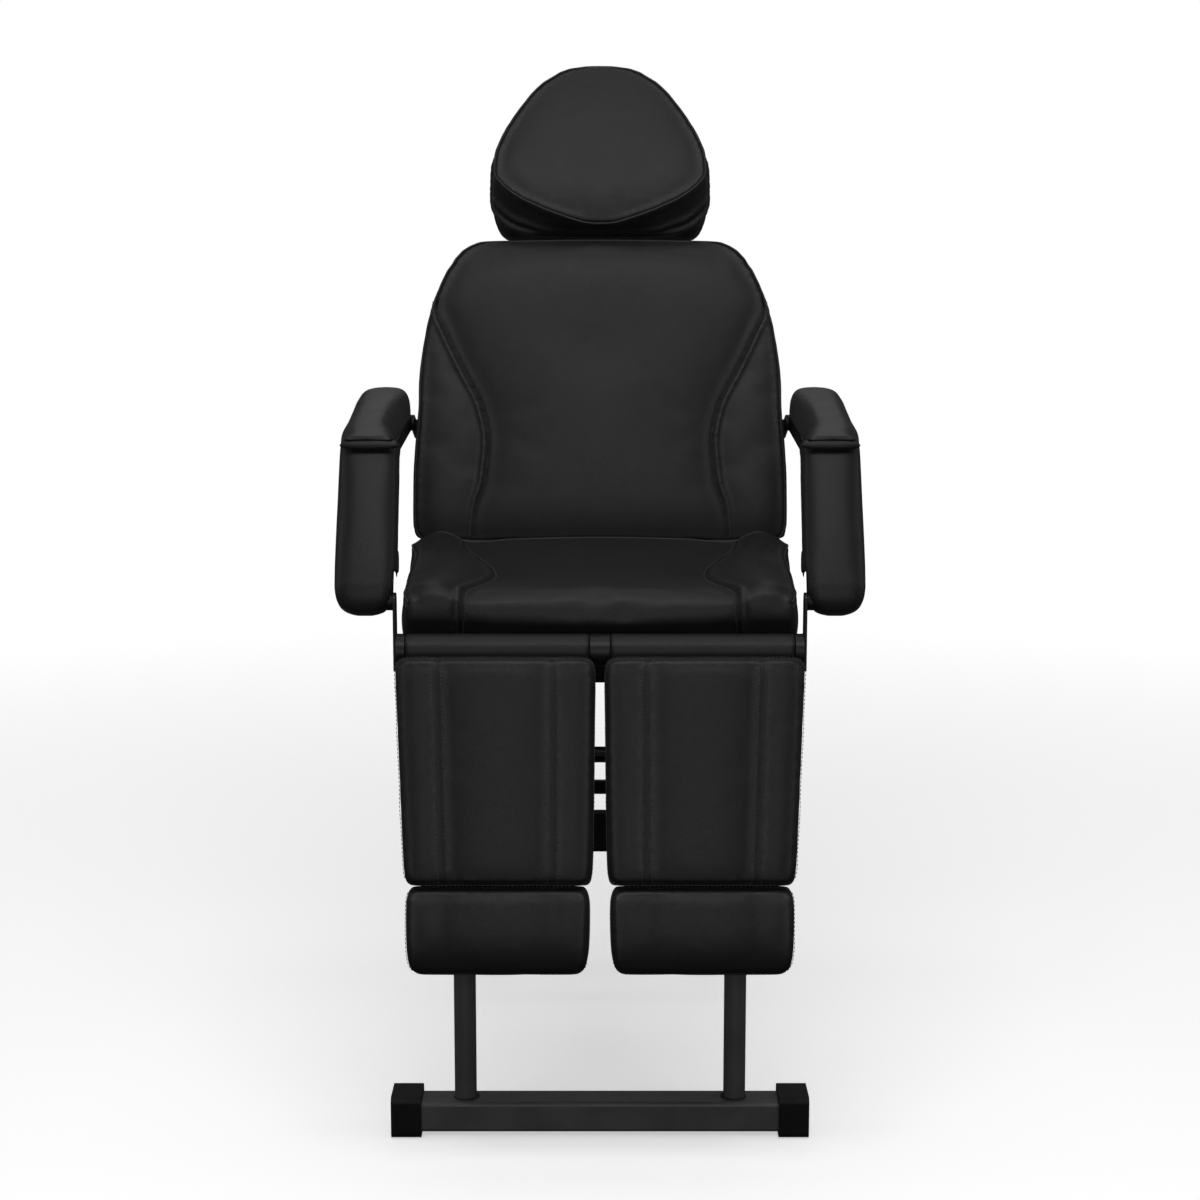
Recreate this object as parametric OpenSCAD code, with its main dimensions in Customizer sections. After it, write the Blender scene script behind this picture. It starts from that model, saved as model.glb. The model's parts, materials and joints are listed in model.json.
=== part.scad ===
// Pedicure chair: steel foot frame, padded seat, reclining back on a gas spring,
// folding arms that stay level, a sliding headrest and two leg rests with sliding foot pads.
// +X is the sitter's left side, the front faces -Y, +Z is up and the floor is z = 0.

/* [Foot frame] */
// Length of the front foot bar between its end caps
foot_bar_len = 502; // [440:1:560]
// Height of the foot bar tube
foot_bar_h = 45; // [35:1:60]
// Depth of the foot bar tube
foot_bar_d = 50; // [36:1:56]
// Gap between the foot bar and the floor
foot_bar_gap = 6; // [5:1:10]
// Length of one end cap
cap_len = 42; // [34:1:55]
// Height of one end cap
cap_h = 60; // [58:1:66]
// Distance between the two front uprights
upright_span = 379; // [320:1:400]
// Diameter of the uprights and rear legs
leg_tube_d = 31; // [24:1:36]
// Distance from the leg rest hinge back to the front uprights
upright_behind = 52; // [46:1:66]
// Position of the rear feet, front to back
rear_foot_y = 471; // [420:1:520]
// Height of the flat cross member under the seat
flat_member_z = 437; // [400:1:480]
// Height of that flat cross member's section
flat_member_h = 54; // [40:1:60]
// Height of the upper cross tube
upper_tube_z = 545; // [510:1:580]
// Diameter of the thin cross tubes and stays
stay_d = 22; // [18:1:26]

/* [Seat] */
// Height of the top of the seat frame
frame_top_z = 676; // [640:1:700]
// Height of the seat frame's tubes
rail_h = 22; // [18:1:30]
// Width of the seat frame's side rails
rail_w = 30; // [24:1:34]
// Distance between the outer faces of the side rails
frame_w = 524; // [500:1:530]
// Thickness of the plywood boards under the seat and the back
board_t = 15; // [12:1:18]
// Half width of the seat cushion
seat_half_w = 282; // [272:1:283]
// Distance from the leg rest hinge back to the front of the seat cushion
seat_behind = 10; // [6:1:14]
// Position of the rear of the seat cushion
seat_rear_y = 128; // [116:1:130]
// Thickness of the seat cushion at its side seams
seat_pad_t = 82; // [70:1:90]

/* [Back] */
// Height of the recline axis
recline_z = 775; // [765:1:785]
// Position of the recline axis, front to back
recline_y = 148; // [146:1:156]
// Lean of the back from upright
back_lean = 18; // [14:1:22]
// Length of the back cushion
back_len = 485; // [450:1:492]
// Half width of the back cushion
back_half_w = 295; // [284:1:296]
// Thickness of the back cushion at its edge
back_pad_t = 62; // [54:1:68]
// Side of the square tubes behind the back board
back_tube = 25; // [20:1:28]

/* [Headrest] */
// Length of the headrest cushion
head_len = 265; // [230:1:280]
// Half width of the headrest cushion
head_half_w = 176; // [150:1:185]
// Thickness of the headrest cushion
head_pad_t = 100; // [80:1:104]
// Extra lean of the headrest past the back
head_lean = 6; // [3:1:10]
// Diameter of the two headrest posts
post_d = 14; // [12:1:16]
// Distance between the two headrest posts
post_span = 120; // [90:1:150]

/* [Arms] */
// Rise from the recline axis to the arm's rear pivot
arm_rise = 187; // [180:1:195]
// Distance back from the recline axis to the arm's rear pivot
arm_set_back = 90; // [80:1:100]
// Distance from the rear pivot forward to the elbow pivot
arm_reach = 370; // [350:1:380]
// Drop from the rear pivot to the elbow pivot
arm_drop = 24; // [18:1:28]
// Inner face of the arm pads, from the centre plane
arm_in = 284; // [284:1:290]
// Width of the arm pads
arm_w = 83; // [76:1:90]
// Thickness of the front arm pad
arm_t = 54; // [48:1:58]
// Thickness of the steel arm bars
arm_bar_t = 8; // [6:1:10]

/* [Leg rests] */
// Height of the leg rest hinge
knee_z = 700; // [698:1:702]
// Distance from the armrest's foot pivot forward to the leg rest hinge
knee_ahead = 104; // [100:1:108]
// Slant of the hanging leg rests
leg_slant = 15; // [10:1:20]
// Radius of the knee roll
roll_r = 22; // [19:1:23]
// Radius of the black hinge brackets round the hinge
bracket_r = 23; // [22:1:25]
// Width of the centre hinge bracket
centre_bracket_w = 26; // [22:1:30]
// Length of the calf pad, from the hinge to its lower end
calf_end = 312; // [284:1:334]
// Length of the foot pad
foot_len = 117; // [96:1:124]
// Thickness of the calf pads
calf_t = 60; // [50:1:62]
// Travel of the foot pads
foot_travel = 120; // [80:1:130]

/* [Hidden] */
$fn = 48;

// Clearances
over = 1;
run = 0.05;
air = 1;
elbow_play = 0.3;
soft_gap = 0.6;

// Pivots that the front of the chair follows
arm_foot_y = recline_y - arm_reach;
arm_foot_z = recline_z - arm_drop;
knee_y = arm_foot_y - knee_ahead;
upright_y = knee_y + upright_behind;
seat_front_y = knee_y + seat_behind;

// Foot frame values
tube_wall = 2;
bar_round = 7;
cap_wall = 8;
cap_d = foot_bar_d + 2 * cap_wall;
cap_round = 9;
cap_bite = 30;
bar_z = foot_bar_gap + foot_bar_h / 2;
bar_top = foot_bar_gap + foot_bar_h;
rail_bottom = frame_top_z - rail_h;
upright_x = upright_span / 2;
flat_member_d = 22;
stay_z = 430;
spring_tube_y = 8;
rear_leg_top_y = 86;
rear_tube_z = 263;
foot_puck_r = 24;
foot_puck_h = 22;
leg_run = rear_foot_y - rear_leg_top_y;
leg_rise = rail_bottom - foot_puck_h;

// Seat frame values
frame_half = frame_w / 2;
rail_x = frame_half - rail_w / 2;
rail_behind = 34;
rail_front_y = knee_y + rail_behind;
rail_rear_y = 182;
seat_top_z = frame_top_z + board_t;
board_half = frame_half - air;

// Recline hinge values
ear_t = 8;
ear_r = 12;
pin_r = 6;
pin_head_r = 10;
pin_head_t = 4;
back_tube_x = 227;
back_ear_x = back_tube_x;
base_ear_x = back_ear_x + ear_t + air;
ear_foot_w = 40;
back_plane = 45;
back_board_t = 12;
tube_y = back_plane + back_board_t;
tube_rear_y = tube_y + back_tube;
back_start = 9;
board_start = 42;
tube_start = 14;
tube_end = 400;

// Arm linkage values
elbow_y = recline_y + arm_set_back - arm_reach;
elbow_z = recline_z + arm_rise - arm_drop;
front_bar_len = sqrt(arm_set_back * arm_set_back + arm_rise * arm_rise);
front_bar_lean = atan2(arm_set_back, arm_rise);
top_bar_len = sqrt(arm_reach * arm_reach + arm_drop * arm_drop);
top_bar_rise = atan2(arm_drop, arm_reach);
arm_bracket_x = seat_half_w + air;
arm_bracket_t = 4;
front_bar_x = arm_bracket_x + arm_bracket_t + air;
top_bar_x = front_bar_x + arm_bar_t + air;
bar_half_h = 11;
bar_end_r = 13;
arm_pin_r = 6;
outrigger_x = 292;
outrigger_t = 4;
outrigger_u = arm_set_back * sin(back_lean) + arm_rise * cos(back_lean);
outrigger_v = arm_set_back * cos(back_lean) - arm_rise * sin(back_lean);
nose_r = arm_t / 2;
arm_mid = arm_in + arm_w / 2;
arm_tail = 32;
arm_toe = 12;
arm_lip = 8;
arm_swing = 70;
arm_hump = 55;
arm_under = 20;
arm_foot_drop = 18;
pocket_r = 34;

// Gas spring values
lug_r = 19;
lug_rise = 6;
lug_u = tube_start + back_tube / 2 - lug_r + lug_rise;
lug_v = tube_y + back_tube / 2;
spring_x = 60;
spring_foot_rise = 24;
spring_r = 11;
spring_rod_r = 5;
spring_eye_r = 10;
spring_eye_t = 12;
spring_neck = 7;
spring_neck_r = 4.5;
spring_lug_t = 6;
lug_play = 14;
spring_stroke = 86;
spring_lead = 1.2;

// Headrest values
guide_r = 10;
post_y = tube_rear_y + guide_r;
guide_start = 316;
guide_len = 112;
post_low = 240;
pivot_gap = 44;
pivot_u = back_start + back_len + pivot_gap;
pivot_rod_r = 6;
head_board_t = 10;
head_back = 34;
head_foot = -33;
head_lug_t = 6;
head_lug_x = 34;
knob_r = 17;
knob_t = 16;
knob_stud_r = 4;
knob_stud_len = 14;
knob_u = 352;

// Leg rest values
hinge_rod_r = 6;
hinge_rod_gap = 2;
hub_r = 10;
outer_bracket_t = 11;
sleeve_w = 20;
sleeve_y = 8;
sleeve_x = 68;
leg_board_t = 12;
leg_back = -(sleeve_w / 2 - sleeve_y) - leg_board_t;
leg_mid = 137;
sleeve_short = 18;
sleeve_end = calf_end - sleeve_short;
calf_start = 12;
calf_half_top = 136.5;
calf_half_low = 126.5;
calf_mid_low = 133;
calf_mid_top = 139;
foot_gap = 3;
board_margin = 8;
foot_start = calf_end + foot_gap;
foot_end = foot_start + foot_len;
foot_half = 124;
foot_half_low = 122.5;
foot_mid = 134;
foot_t = 70;
foot_plate_t = 6;
rod_keep = 40;

// Sections of the cushions, as shares of their length, width and thickness
EDGE_SHARES = [0.25, 0.5, 0.75, 0.93];
MIDDLE_SHARES = [0.94, 0.7, 0.4, 0];
SIDE_SHARES = [0.3, 0.7];

function lerp(a, b, t) = a + (b - a) * t;
function sq(a) = a * a;
// Bulge of zero at both ends and one in the middle
function swell(t) = 4 * t * (1 - t);

// Right half of one row of a sewn cushion: [x, y] from the board plane round to the centre
// row = [z, half width, centre, front share, back share, seam share, edge share]
// style = [edge thickness, thickness at the seam, middle crown, side crown, channel, side rounding]
function half_row(row, style) =
    let (half = row[1], k = row[3], b = row[4], xs = row[1] * row[5])
    let (edge = style[0] * k * row[6], back = style[0] * b, r = style[5])
    let (lip = half - r)
    concat(
        [[lip, -back]],
        [for (t = SIDE_SHARES) [half, -lerp(back, edge, t)]],
        [[lip, -edge]],
        [for (t = EDGE_SHARES)
            [lerp(lip, xs, t), -(lerp(edge, style[1] * k, t) + style[3] * k * swell(t))]],
        [[xs, -(style[1] - style[4]) * k]],
        [for (t = MIDDLE_SHARES) [xs * t, -(style[1] + style[2] * (1 - t * t)) * k]]);

function full_row(row, style) =
    let (right = half_row(row, style), n = len(right))
    concat(
        [for (p = right) [row[2] + p[0], p[1], row[0]]],
        [for (i = [n - 2:-1:0]) [row[2] - right[i][0], right[i][1], row[0]]]);

// One row of a wrapped sleeve: a squared-off ellipse
// row = [z, half width, centre, front depth, back depth]
SLEEVE_SIDES = 24;
sleeve_power = 0.55;
function bend(a) = sign(a) * pow(abs(a), sleeve_power);
function sleeve_row(row) =
    [for (i = [0:SLEEVE_SIDES - 1])
        let (a = -i * 360 / SLEEVE_SIDES)
        [row[2] + row[1] * bend(cos(a)),
         lerp(-row[3], row[4], (1 + bend(sin(a))) / 2), row[0]]];

// Skin over rows of points that all have the same count
module loft(rows) {
    n = len(rows[0]);
    m = len(rows);
    sides = [for (i = [0:m - 2], j = [0:n - 1])
        each [[i * n + j, i * n + (j + 1) % n, (i + 1) * n + (j + 1) % n],
              [i * n + j, (i + 1) * n + (j + 1) % n, (i + 1) * n + j]]];
    low = [for (j = [n - 1:-1:0]) j];
    high = [for (j = [0:n - 1]) (m - 1) * n + j];
    polyhedron(points = [for (row = rows) each row], faces = concat(sides, [low], [high]));
}

module both_sides() {
    children();
    mirror([1, 0, 0]) children();
}

module side(s) {
    if (s > 0) children();
    else mirror([1, 0, 0]) children();
}

module round_rect(w, h, r) {
    square([w - 2 * r, h], center = true);
    square([w, h - 2 * r], center = true);
    for (x = [-1, 1], y = [-1, 1])
        translate([x * (w / 2 - r), y * (h / 2 - r)]) circle(r);
}

// Rod along X from x0 to x1
module rod_x(r, x0, x1) {
    translate([x0, 0, 0]) rotate([0, 90, 0]) cylinder(h = x1 - x0, r = r);
}

// Flat plate in the YZ plane from x0, t thick
module plate_x(x0, t, points) {
    translate([x0, 0, 0]) rotate([90, 0, 90]) linear_extrude(t) polygon(points);
}

// Frames of the moving groups at rest
module on_back() {
    translate([0, recline_y, recline_z]) rotate([-back_lean, 0, 0]) children();
}

module on_head() {
    on_back() translate([0, post_y, pivot_u]) rotate([-head_lean, 0, 0]) children();
}

module on_leg() {
    translate([0, knee_y, knee_z]) rotate([-leg_slant, 0, 0]) children();
}

module on_front_bar() {
    translate([0, arm_foot_y, arm_foot_z]) rotate([-front_bar_lean, 0, 0]) children();
}

module on_top_bar() {
    translate([0, elbow_y, elbow_z]) rotate([top_bar_rise, 0, 0]) children();
}

// Foot frame
module upright_solid() {
    translate([upright_x, upright_y, bar_top]) cylinder(h = rail_bottom - bar_top, d = leg_tube_d);
}

module rear_leg_solid() {
    lean = atan2(leg_run, leg_rise);
    length = sqrt(sq(leg_run) + sq(leg_rise));
    intersection() {
        translate([upright_x, rear_foot_y, foot_puck_h]) rotate([lean, 0, 0])
            translate([0, 0, -leg_tube_d]) cylinder(h = length + 2 * leg_tube_d, d = leg_tube_d);
        translate([0, rear_leg_top_y - leg_tube_d, foot_puck_h])
            cube([frame_w, leg_run + 2 * leg_tube_d, leg_rise]);
    }
}

module foot_bar() {
    whole = foot_bar_len + 2 * cap_bite;
    color("#3c3e42") translate([-whole / 2, upright_y, bar_z]) rotate([90, 0, 90])
        linear_extrude(whole) difference() {
            round_rect(foot_bar_d, foot_bar_h, bar_round);
            round_rect(foot_bar_d - 2 * tube_wall, foot_bar_h - 2 * tube_wall, bar_round - tube_wall);
        }
}

module foot_bar_caps() {
    color("#0c0c0d") both_sides() difference() {
        translate([foot_bar_len / 2, upright_y, cap_h / 2]) rotate([90, 0, 90])
            linear_extrude(cap_len) round_rect(cap_d, cap_h, cap_round);
        translate([foot_bar_len / 2 - over, upright_y, bar_z]) rotate([90, 0, 90])
            linear_extrude(cap_bite + over) round_rect(foot_bar_d, foot_bar_h, bar_round);
    }
}

module upright(s) {
    color("#3c3e42") side(s) upright_solid();
}

module flat_cross_member() {
    color("#26272a") difference() {
        translate([0, upright_y, flat_member_z])
            cube([upright_span, flat_member_d, flat_member_h], center = true);
        both_sides() upright_solid();
    }
}

module upper_cross_tube() {
    color("#26272a") difference() {
        translate([0, upright_y, upper_tube_z]) rod_x(stay_d / 2, -upright_x, upright_x);
        both_sides() upright_solid();
    }
}

module stay_bar() {
    translate([upright_x, upright_y, stay_z]) rotate([-90, 0, 0])
        cylinder(h = leg_run + rear_leg_top_y - upright_y, d = stay_d);
}

// Keeps what lies in front of the rear leg's centre line
module before_rear_leg() {
    plate_x(0, frame_w, [[upright_y, rail_bottom], [rear_leg_top_y, rail_bottom],
        [rear_foot_y, foot_puck_h], [upright_y, foot_puck_h]]);
}

module stay_solid() {
    difference() {
        intersection() {
            stay_bar();
            before_rear_leg();
        }
        upright_solid();
        rear_leg_solid();
    }
}

module stay(s) {
    color("#26272a") side(s) stay_solid();
}

module spring_cross_tube() {
    color("#26272a") {
        difference() {
            translate([0, spring_tube_y, stay_z]) rod_x(stay_d / 2, -upright_x, upright_x);
            both_sides() stay_bar();
        }
        spring_foot_lugs();
    }
}

// Two lugs on the cross tube that hold the foot of the gas spring
module spring_foot_lugs() {
    for (x = [spring_x - spring_eye_t / 2 - air / 2 - spring_lug_t, spring_x + spring_eye_t / 2 + air / 2])
        difference() {
            translate([0, spring_tube_y, stay_z]) union() {
                translate([0, 0, spring_foot_rise]) rod_x(spring_eye_r, x, x + spring_lug_t);
                translate([x, -spring_eye_r, 0]) cube([spring_lug_t, 2 * spring_eye_r, spring_foot_rise]);
            }
            translate([0, spring_tube_y, stay_z + spring_foot_rise])
                rod_x(spring_rod_r + run, x - over, x + spring_lug_t + over);
        }
}

module rear_leg(s) {
    color("#3c3e42") side(s) rear_leg_solid();
}

module rear_cross_tube() {
    y = rear_foot_y - leg_run * (rear_tube_z - foot_puck_h) / leg_rise;
    color("#26272a") difference() {
        translate([0, y, rear_tube_z]) rod_x(stay_d / 2, -upright_x, upright_x);
        both_sides() rear_leg_solid();
    }
}

module rear_feet() {
    color("#0c0c0d") both_sides() translate([upright_x, rear_foot_y, 0])
        cylinder(h = foot_puck_h, r = foot_puck_r);
}

// Seat
module rail(s) {
    color("#26272a") side(s) translate([rail_x, (rail_front_y + rail_rear_y) / 2, frame_top_z - rail_h / 2])
        cube([rail_w, rail_rear_y - rail_front_y, rail_h], center = true);
}

module seat_cross_tubes() {
    color("#26272a") for (y = [upright_y, rear_leg_top_y])
        translate([0, y, frame_top_z - rail_h / 2])
            cube([frame_w - 2 * rail_w, leg_tube_d, rail_h], center = true);
}

module seat_board() {
    color("#6d5a42") translate([-board_half, rail_front_y, frame_top_z])
        cube([2 * board_half, seat_rear_y - rail_front_y - air, board_t]);
}

// [y, half width, front share, back share, seam share, edge share] from the knees to the back
SEAT_ROW_SHARES = [
    [0, 0.92, 0.74, 0.6, 0.7, 1], [0.012, 0.945, 0.88, 0.5, 0.7, 1], [0.03, 0.96, 0.96, 0.43, 0.69, 1],
    [0.05, 0.968, 1, 0.15, 0.68, 1], [0.075, 0.972, 1.01, 0, 0.67, 1], [0.15, 0.976, 1, 0, 0.63, 1],
    [0.25, 0.984, 0.985, 0, 0.58, 1], [0.4, 0.998, 0.98, 0, 0.54, 1], [0.55, 1.004, 0.985, 0, 0.56, 1],
    [0.7, 1.006, 1, 0, 0.62, 1.02], [0.78, 1.006, 1.02, 0, 0.65, 1.05], [0.87, 1.03, 1.05, 0, 0.69, 1.08],
    [0.94, 1.045, 1.095, 0, 0.71, 1.06], [0.98, 1.04, 1.1, 0, 0.715, 1.02],
    [1, 1.02, 1.06, 0.03, 0.715, 0.96]];
seat_round = 9;
seat_crown = 7;
seat_bolster = 17;
seat_seam_t = 84;
seat_channel = 6;

module seat_cushion() {
    length = seat_rear_y - seat_front_y;
    style = [seat_pad_t, seat_seam_t, seat_crown, seat_bolster, seat_channel, seat_round];
    rows = [for (r = SEAT_ROW_SHARES)
        full_row([r[0] * length, r[1] * seat_half_w, 0, r[2], r[3], r[4], r[5]], style)];
    color("#2b2b2d") translate([0, seat_front_y, seat_top_z]) rotate([-90, 0, 0]) loft(rows);
}

// Ears on the rails that carry the back
module recline_ears() {
    color("#26272a") both_sides() difference() {
        union() {
            plate_x(base_ear_x, ear_t, [[recline_y - ear_r, recline_z], [recline_y - ear_r, frame_top_z],
                [recline_y - ear_r + ear_foot_w, frame_top_z], [recline_y + ear_r, recline_z]]);
            translate([0, recline_y, recline_z]) rod_x(ear_r, base_ear_x, base_ear_x + ear_t);
        }
        translate([0, recline_y, recline_z]) rod_x(pin_r, base_ear_x - over, base_ear_x + ear_t + over);
    }
}

module recline_pins() {
    color("#8d9096") both_sides() translate([0, recline_y, recline_z]) {
        rod_x(pin_r, back_ear_x - air, base_ear_x + ear_t);
        rod_x(pin_head_r, base_ear_x + ear_t, base_ear_x + ear_t + pin_head_t);
        rod_x(pin_head_r, back_ear_x - air - pin_head_t, back_ear_x - air);
    }
}

// Bracket from the rail out and up to the foot of the front arm bar, with its stud
module arm_brackets() {
    color("#26272a") both_sides() {
        translate([frame_half, arm_foot_y - ear_r, rail_bottom])
            cube([arm_bracket_x + arm_bracket_t - frame_half, 2 * ear_r, rail_h]);
        translate([arm_bracket_x, arm_foot_y - ear_r, rail_bottom])
            cube([arm_bracket_t, 2 * ear_r, arm_foot_z - rail_bottom]);
        translate([0, arm_foot_y, arm_foot_z]) {
            rod_x(ear_r, arm_bracket_x, arm_bracket_x + arm_bracket_t);
            rod_x(arm_pin_r, arm_bracket_x, front_bar_x + arm_bar_t - air / 2);
        }
    }
}

// Black brackets round the leg rest hinge
module bracket_profile(x0, t, rear_y, low_z) {
    difference() {
        union() {
            translate([0, knee_y, knee_z]) rod_x(bracket_r, x0, x0 + t);
            plate_x(x0, t, [[knee_y, knee_z], [knee_y + bracket_r, knee_z],
                [knee_y + bracket_r, frame_top_z], [rear_y, frame_top_z], [rear_y, low_z], [knee_y + bracket_r / 2, low_z],
                [knee_y - bracket_r / 2, knee_z - 0.8 * bracket_r]]);
        }
        translate([0, knee_y, knee_z]) rod_x(hinge_rod_r, x0 - over, x0 + t + over);
    }
}

module outer_hinge_brackets() {
    color("#0f0f10") both_sides()
        bracket_profile(frame_half, outer_bracket_t, upright_y, rail_bottom);
}

module centre_hinge_bracket() {
    color("#0f0f10")
        bracket_profile(-centre_bracket_w / 2, centre_bracket_w, upright_y - leg_tube_d / 2, rail_bottom);
}

module hinge_rods() {
    color("#8d9096") both_sides() translate([0, knee_y, knee_z])
        rod_x(hinge_rod_r, hinge_rod_gap, frame_half + outer_bracket_t);
}

// Back
module back_tube(s) {
    color("#26272a") side(s) on_back() difference() {
        union() {
            translate([back_tube_x - back_tube, tube_y, tube_start])
                cube([back_tube, back_tube, tube_end - tube_start]);
            plate_x(back_ear_x, ear_t, [[0, ear_r], [tube_y, ear_r + tube_start],
                [tube_y, 2 * tube_start + back_tube], [tube_rear_y, 2 * tube_start + back_tube],
                [tube_rear_y, tube_start], [tube_y, 0], [0, -ear_r]]);
            rod_x(ear_r, back_ear_x, back_ear_x + ear_t);
        }
        rod_x(pin_r + run, back_ear_x - over, back_ear_x + ear_t + over);
    }
}

// Heights of the cross tubes of the back frame
cross_low_u = tube_start + back_tube;
cross_mid_u = guide_start + back_tube / 2;
cross_high_u = tube_end - back_tube / 2;
module back_cross_tubes() {
    inner = back_tube_x - back_tube;
    color("#26272a") on_back() {
        for (u = [cross_low_u, cross_mid_u, cross_high_u])
            translate([0, tube_y + back_tube / 2, u])
                cube([2 * inner, back_tube, back_tube], center = true);
        for (x = [spring_x - spring_eye_t / 2 - air - spring_lug_t, spring_x + spring_eye_t / 2 + air])
            difference() {
                translate([0, lug_v, lug_u]) union() {
                    rod_x(lug_r, x, x + spring_lug_t);
                    translate([x, -back_tube / 2, 0])
                        cube([spring_lug_t, back_tube, cross_low_u - back_tube / 2 - lug_u]);
                }
                translate([0, lug_v, lug_u]) rod_x(lug_play, x - over, x + spring_lug_t + over);
            }
    }
}

// Arms out from the back frame to the rear pivots of the armrests, with their studs
module arm_outriggers() {
    color("#0f0f10") both_sides() on_back() {
        translate([back_tube_x, tube_y, outrigger_u - back_tube / 2])
            cube([outrigger_x + outrigger_t - back_tube_x, back_tube, back_tube]);
        translate([outrigger_x, outrigger_v, outrigger_u - back_tube / 2])
            cube([outrigger_t, tube_y + back_tube / 2 - outrigger_v, back_tube]);
        translate([0, outrigger_v, outrigger_u]) {
            rod_x(back_tube / 2, outrigger_x, outrigger_x + outrigger_t);
            rod_x(arm_pin_r, outrigger_x, top_bar_x + arm_bar_t - air / 2);
        }
    }
}

// [height, half width, front share, back share, seam share] from the seat to the shoulders
BACK_ROW_SHARES = [
    [0, 0.93, 0.94, 0.93, 0.69], [0.016, 0.975, 0.98, 0.72, 0.68], [0.037, 0.99, 1, 0.4, 0.67],
    [0.064, 0.998, 1, 0, 0.66], [0.12, 1, 1, 0, 0.645], [0.2, 1, 1, 0, 0.605], [0.32, 0.994, 1, 0, 0.592],
    [0.43, 0.981, 1, 0, 0.63], [0.55, 0.976, 1, 0, 0.73], [0.68, 0.949, 1, 0, 0.86],
    [0.78, 0.913, 1, 0, 0.96], [0.86, 0.865, 1, 0, 0.97], [0.92, 0.81, 0.99, 0, 0.97],
    [0.96, 0.758, 0.97, 0, 0.96], [0.985, 0.7, 0.9, 0.03, 0.95], [1, 0.62, 0.72, 0.08, 0.93]];
back_round = 8;
back_crown = 12;
back_side_crown = 7;
back_seam_t = 61;
back_channel = 5;

module back_cushion() {
    style = [back_pad_t, back_seam_t, back_crown, back_side_crown, back_channel, back_round];
    rows = [for (r = BACK_ROW_SHARES)
        full_row([back_start + r[0] * back_len, r[1] * back_half_w, 0, r[2], r[3], r[4], 1], style)];
    color("#2b2b2d") on_back() translate([0, back_plane, 0]) loft(rows);
}

BOARD_SHARES = [[0.93, 0], [0.95, 0.2], [0.93, 0.5], [0.86, 0.75], [0.72, 0.92], [0.5, 0.985]];
module back_board() {
    length = back_start + back_len - board_start;
    right = [for (p = BOARD_SHARES) [p[0] * back_half_w, board_start + p[1] * length]];
    left = [for (i = [len(right) - 1:-1:0]) [-right[i][0], right[i][1]]];
    color("#6d5a42") on_back() translate([0, back_plane + back_board_t, 0]) rotate([90, 0, 0])
        linear_extrude(back_board_t) polygon(concat(right, left));
}

// Headrest
module post_guides() {
    color("#26272a") on_back() difference() {
        for (x = [-1, 1]) translate([x * post_span / 2, post_y, guide_start])
            cylinder(h = guide_len, r = guide_r);
        for (x = [-1, 1]) translate([x * post_span / 2, post_y, guide_start - over])
            cylinder(h = guide_len + 2 * over, r = post_d / 2 + run);
        translate([post_span / 2, post_y, knob_u]) rotate([-90, 0, 0])
            cylinder(h = guide_r + over, r = knob_stud_r + run);
    }
}

module guide_knob() {
    start = post_d / 2 + air / 2;
    color("#0c0c0d") on_back() translate([post_span / 2, post_y + start, knob_u]) rotate([-90, 0, 0]) {
        cylinder(h = knob_stud_len, r = knob_stud_r);
        translate([0, 0, knob_stud_len]) cylinder(h = knob_t, r = knob_r);
        translate([0, 0, knob_stud_len / 2]) cylinder(h = knob_stud_len / 2, r = knob_r / 2);
    }
}

module headrest_posts() {
    color("#9a9da3") on_back() {
        for (x = [-1, 1]) translate([x * post_span / 2, post_y, post_low])
            cylinder(h = pivot_u - post_low, d = post_d);
        translate([0, post_y, pivot_u])
            rod_x(pivot_rod_r, -(post_span + post_d) / 2, (post_span + post_d) / 2);
    }
}

module headrest_lugs() {
    lug_foot = head_back - head_board_t;
    color("#26272a") on_head() {
        both_sides() difference() {
            union() {
                rod_x(ear_r, head_lug_x, head_lug_x + head_lug_t);
                plate_x(head_lug_x, head_lug_t, [[0, ear_r], [-lug_foot, 2 * ear_r],
                    [-lug_foot, -ear_r], [0, -ear_r]]);
            }
            rod_x(pivot_rod_r + run, head_lug_x - over, head_lug_x + head_lug_t + over);
        }
        translate([-head_lug_x - ear_r, -lug_foot, -ear_r])
            cube([2 * (head_lug_x + ear_r), head_lug_t / 2, 3 * ear_r]);
    }
}

// [height, half width, front share, back share, seam share, edge share] of the headrest
HEAD_ROW_SHARES = [
    [0, 0.82, 0.9, 0.08, 0.14, 0.36], [0.02, 0.885, 0.95, 0.03, 0.28, 0.38],
    [0.07, 0.945, 0.98, 0, 0.5, 0.44], [0.15, 0.99, 1, 0, 0.74, 0.56], [0.22, 1, 1, 0, 0.87, 0.76], [0.3, 0.995, 1, 0, 0.96, 1],
    [0.4, 0.99, 1, 0, 0.96, 1], [0.52, 0.93, 1, 0, 0.96, 1], [0.64, 0.833, 1, 0, 0.96, 1],
    [0.76, 0.708, 1, 0, 0.96, 1], [0.86, 0.582, 0.98, 0, 0.95, 1], [0.94, 0.425, 0.95, 0.02, 0.94, 1],
    [0.98, 0.33, 0.91, 0.06, 0.92, 1], [1, 0.2, 0.85, 0.12, 0.88, 1]];
head_round = 6;
head_edge_drop = 7;
head_seam_drop = 5;
head_side_crown = 1;

module headrest_cushion() {
    style = [head_pad_t - head_edge_drop, head_pad_t - head_seam_drop, head_seam_drop,
        head_side_crown, 0, head_round];
    rows = [for (r = HEAD_ROW_SHARES)
        full_row([head_foot + r[0] * head_len, r[1] * head_half_w, 0, r[2], r[3], r[4], r[5]], style)];
    color("#2b2b2d") on_head() translate([0, -head_back, 0]) loft(rows);
}

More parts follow.
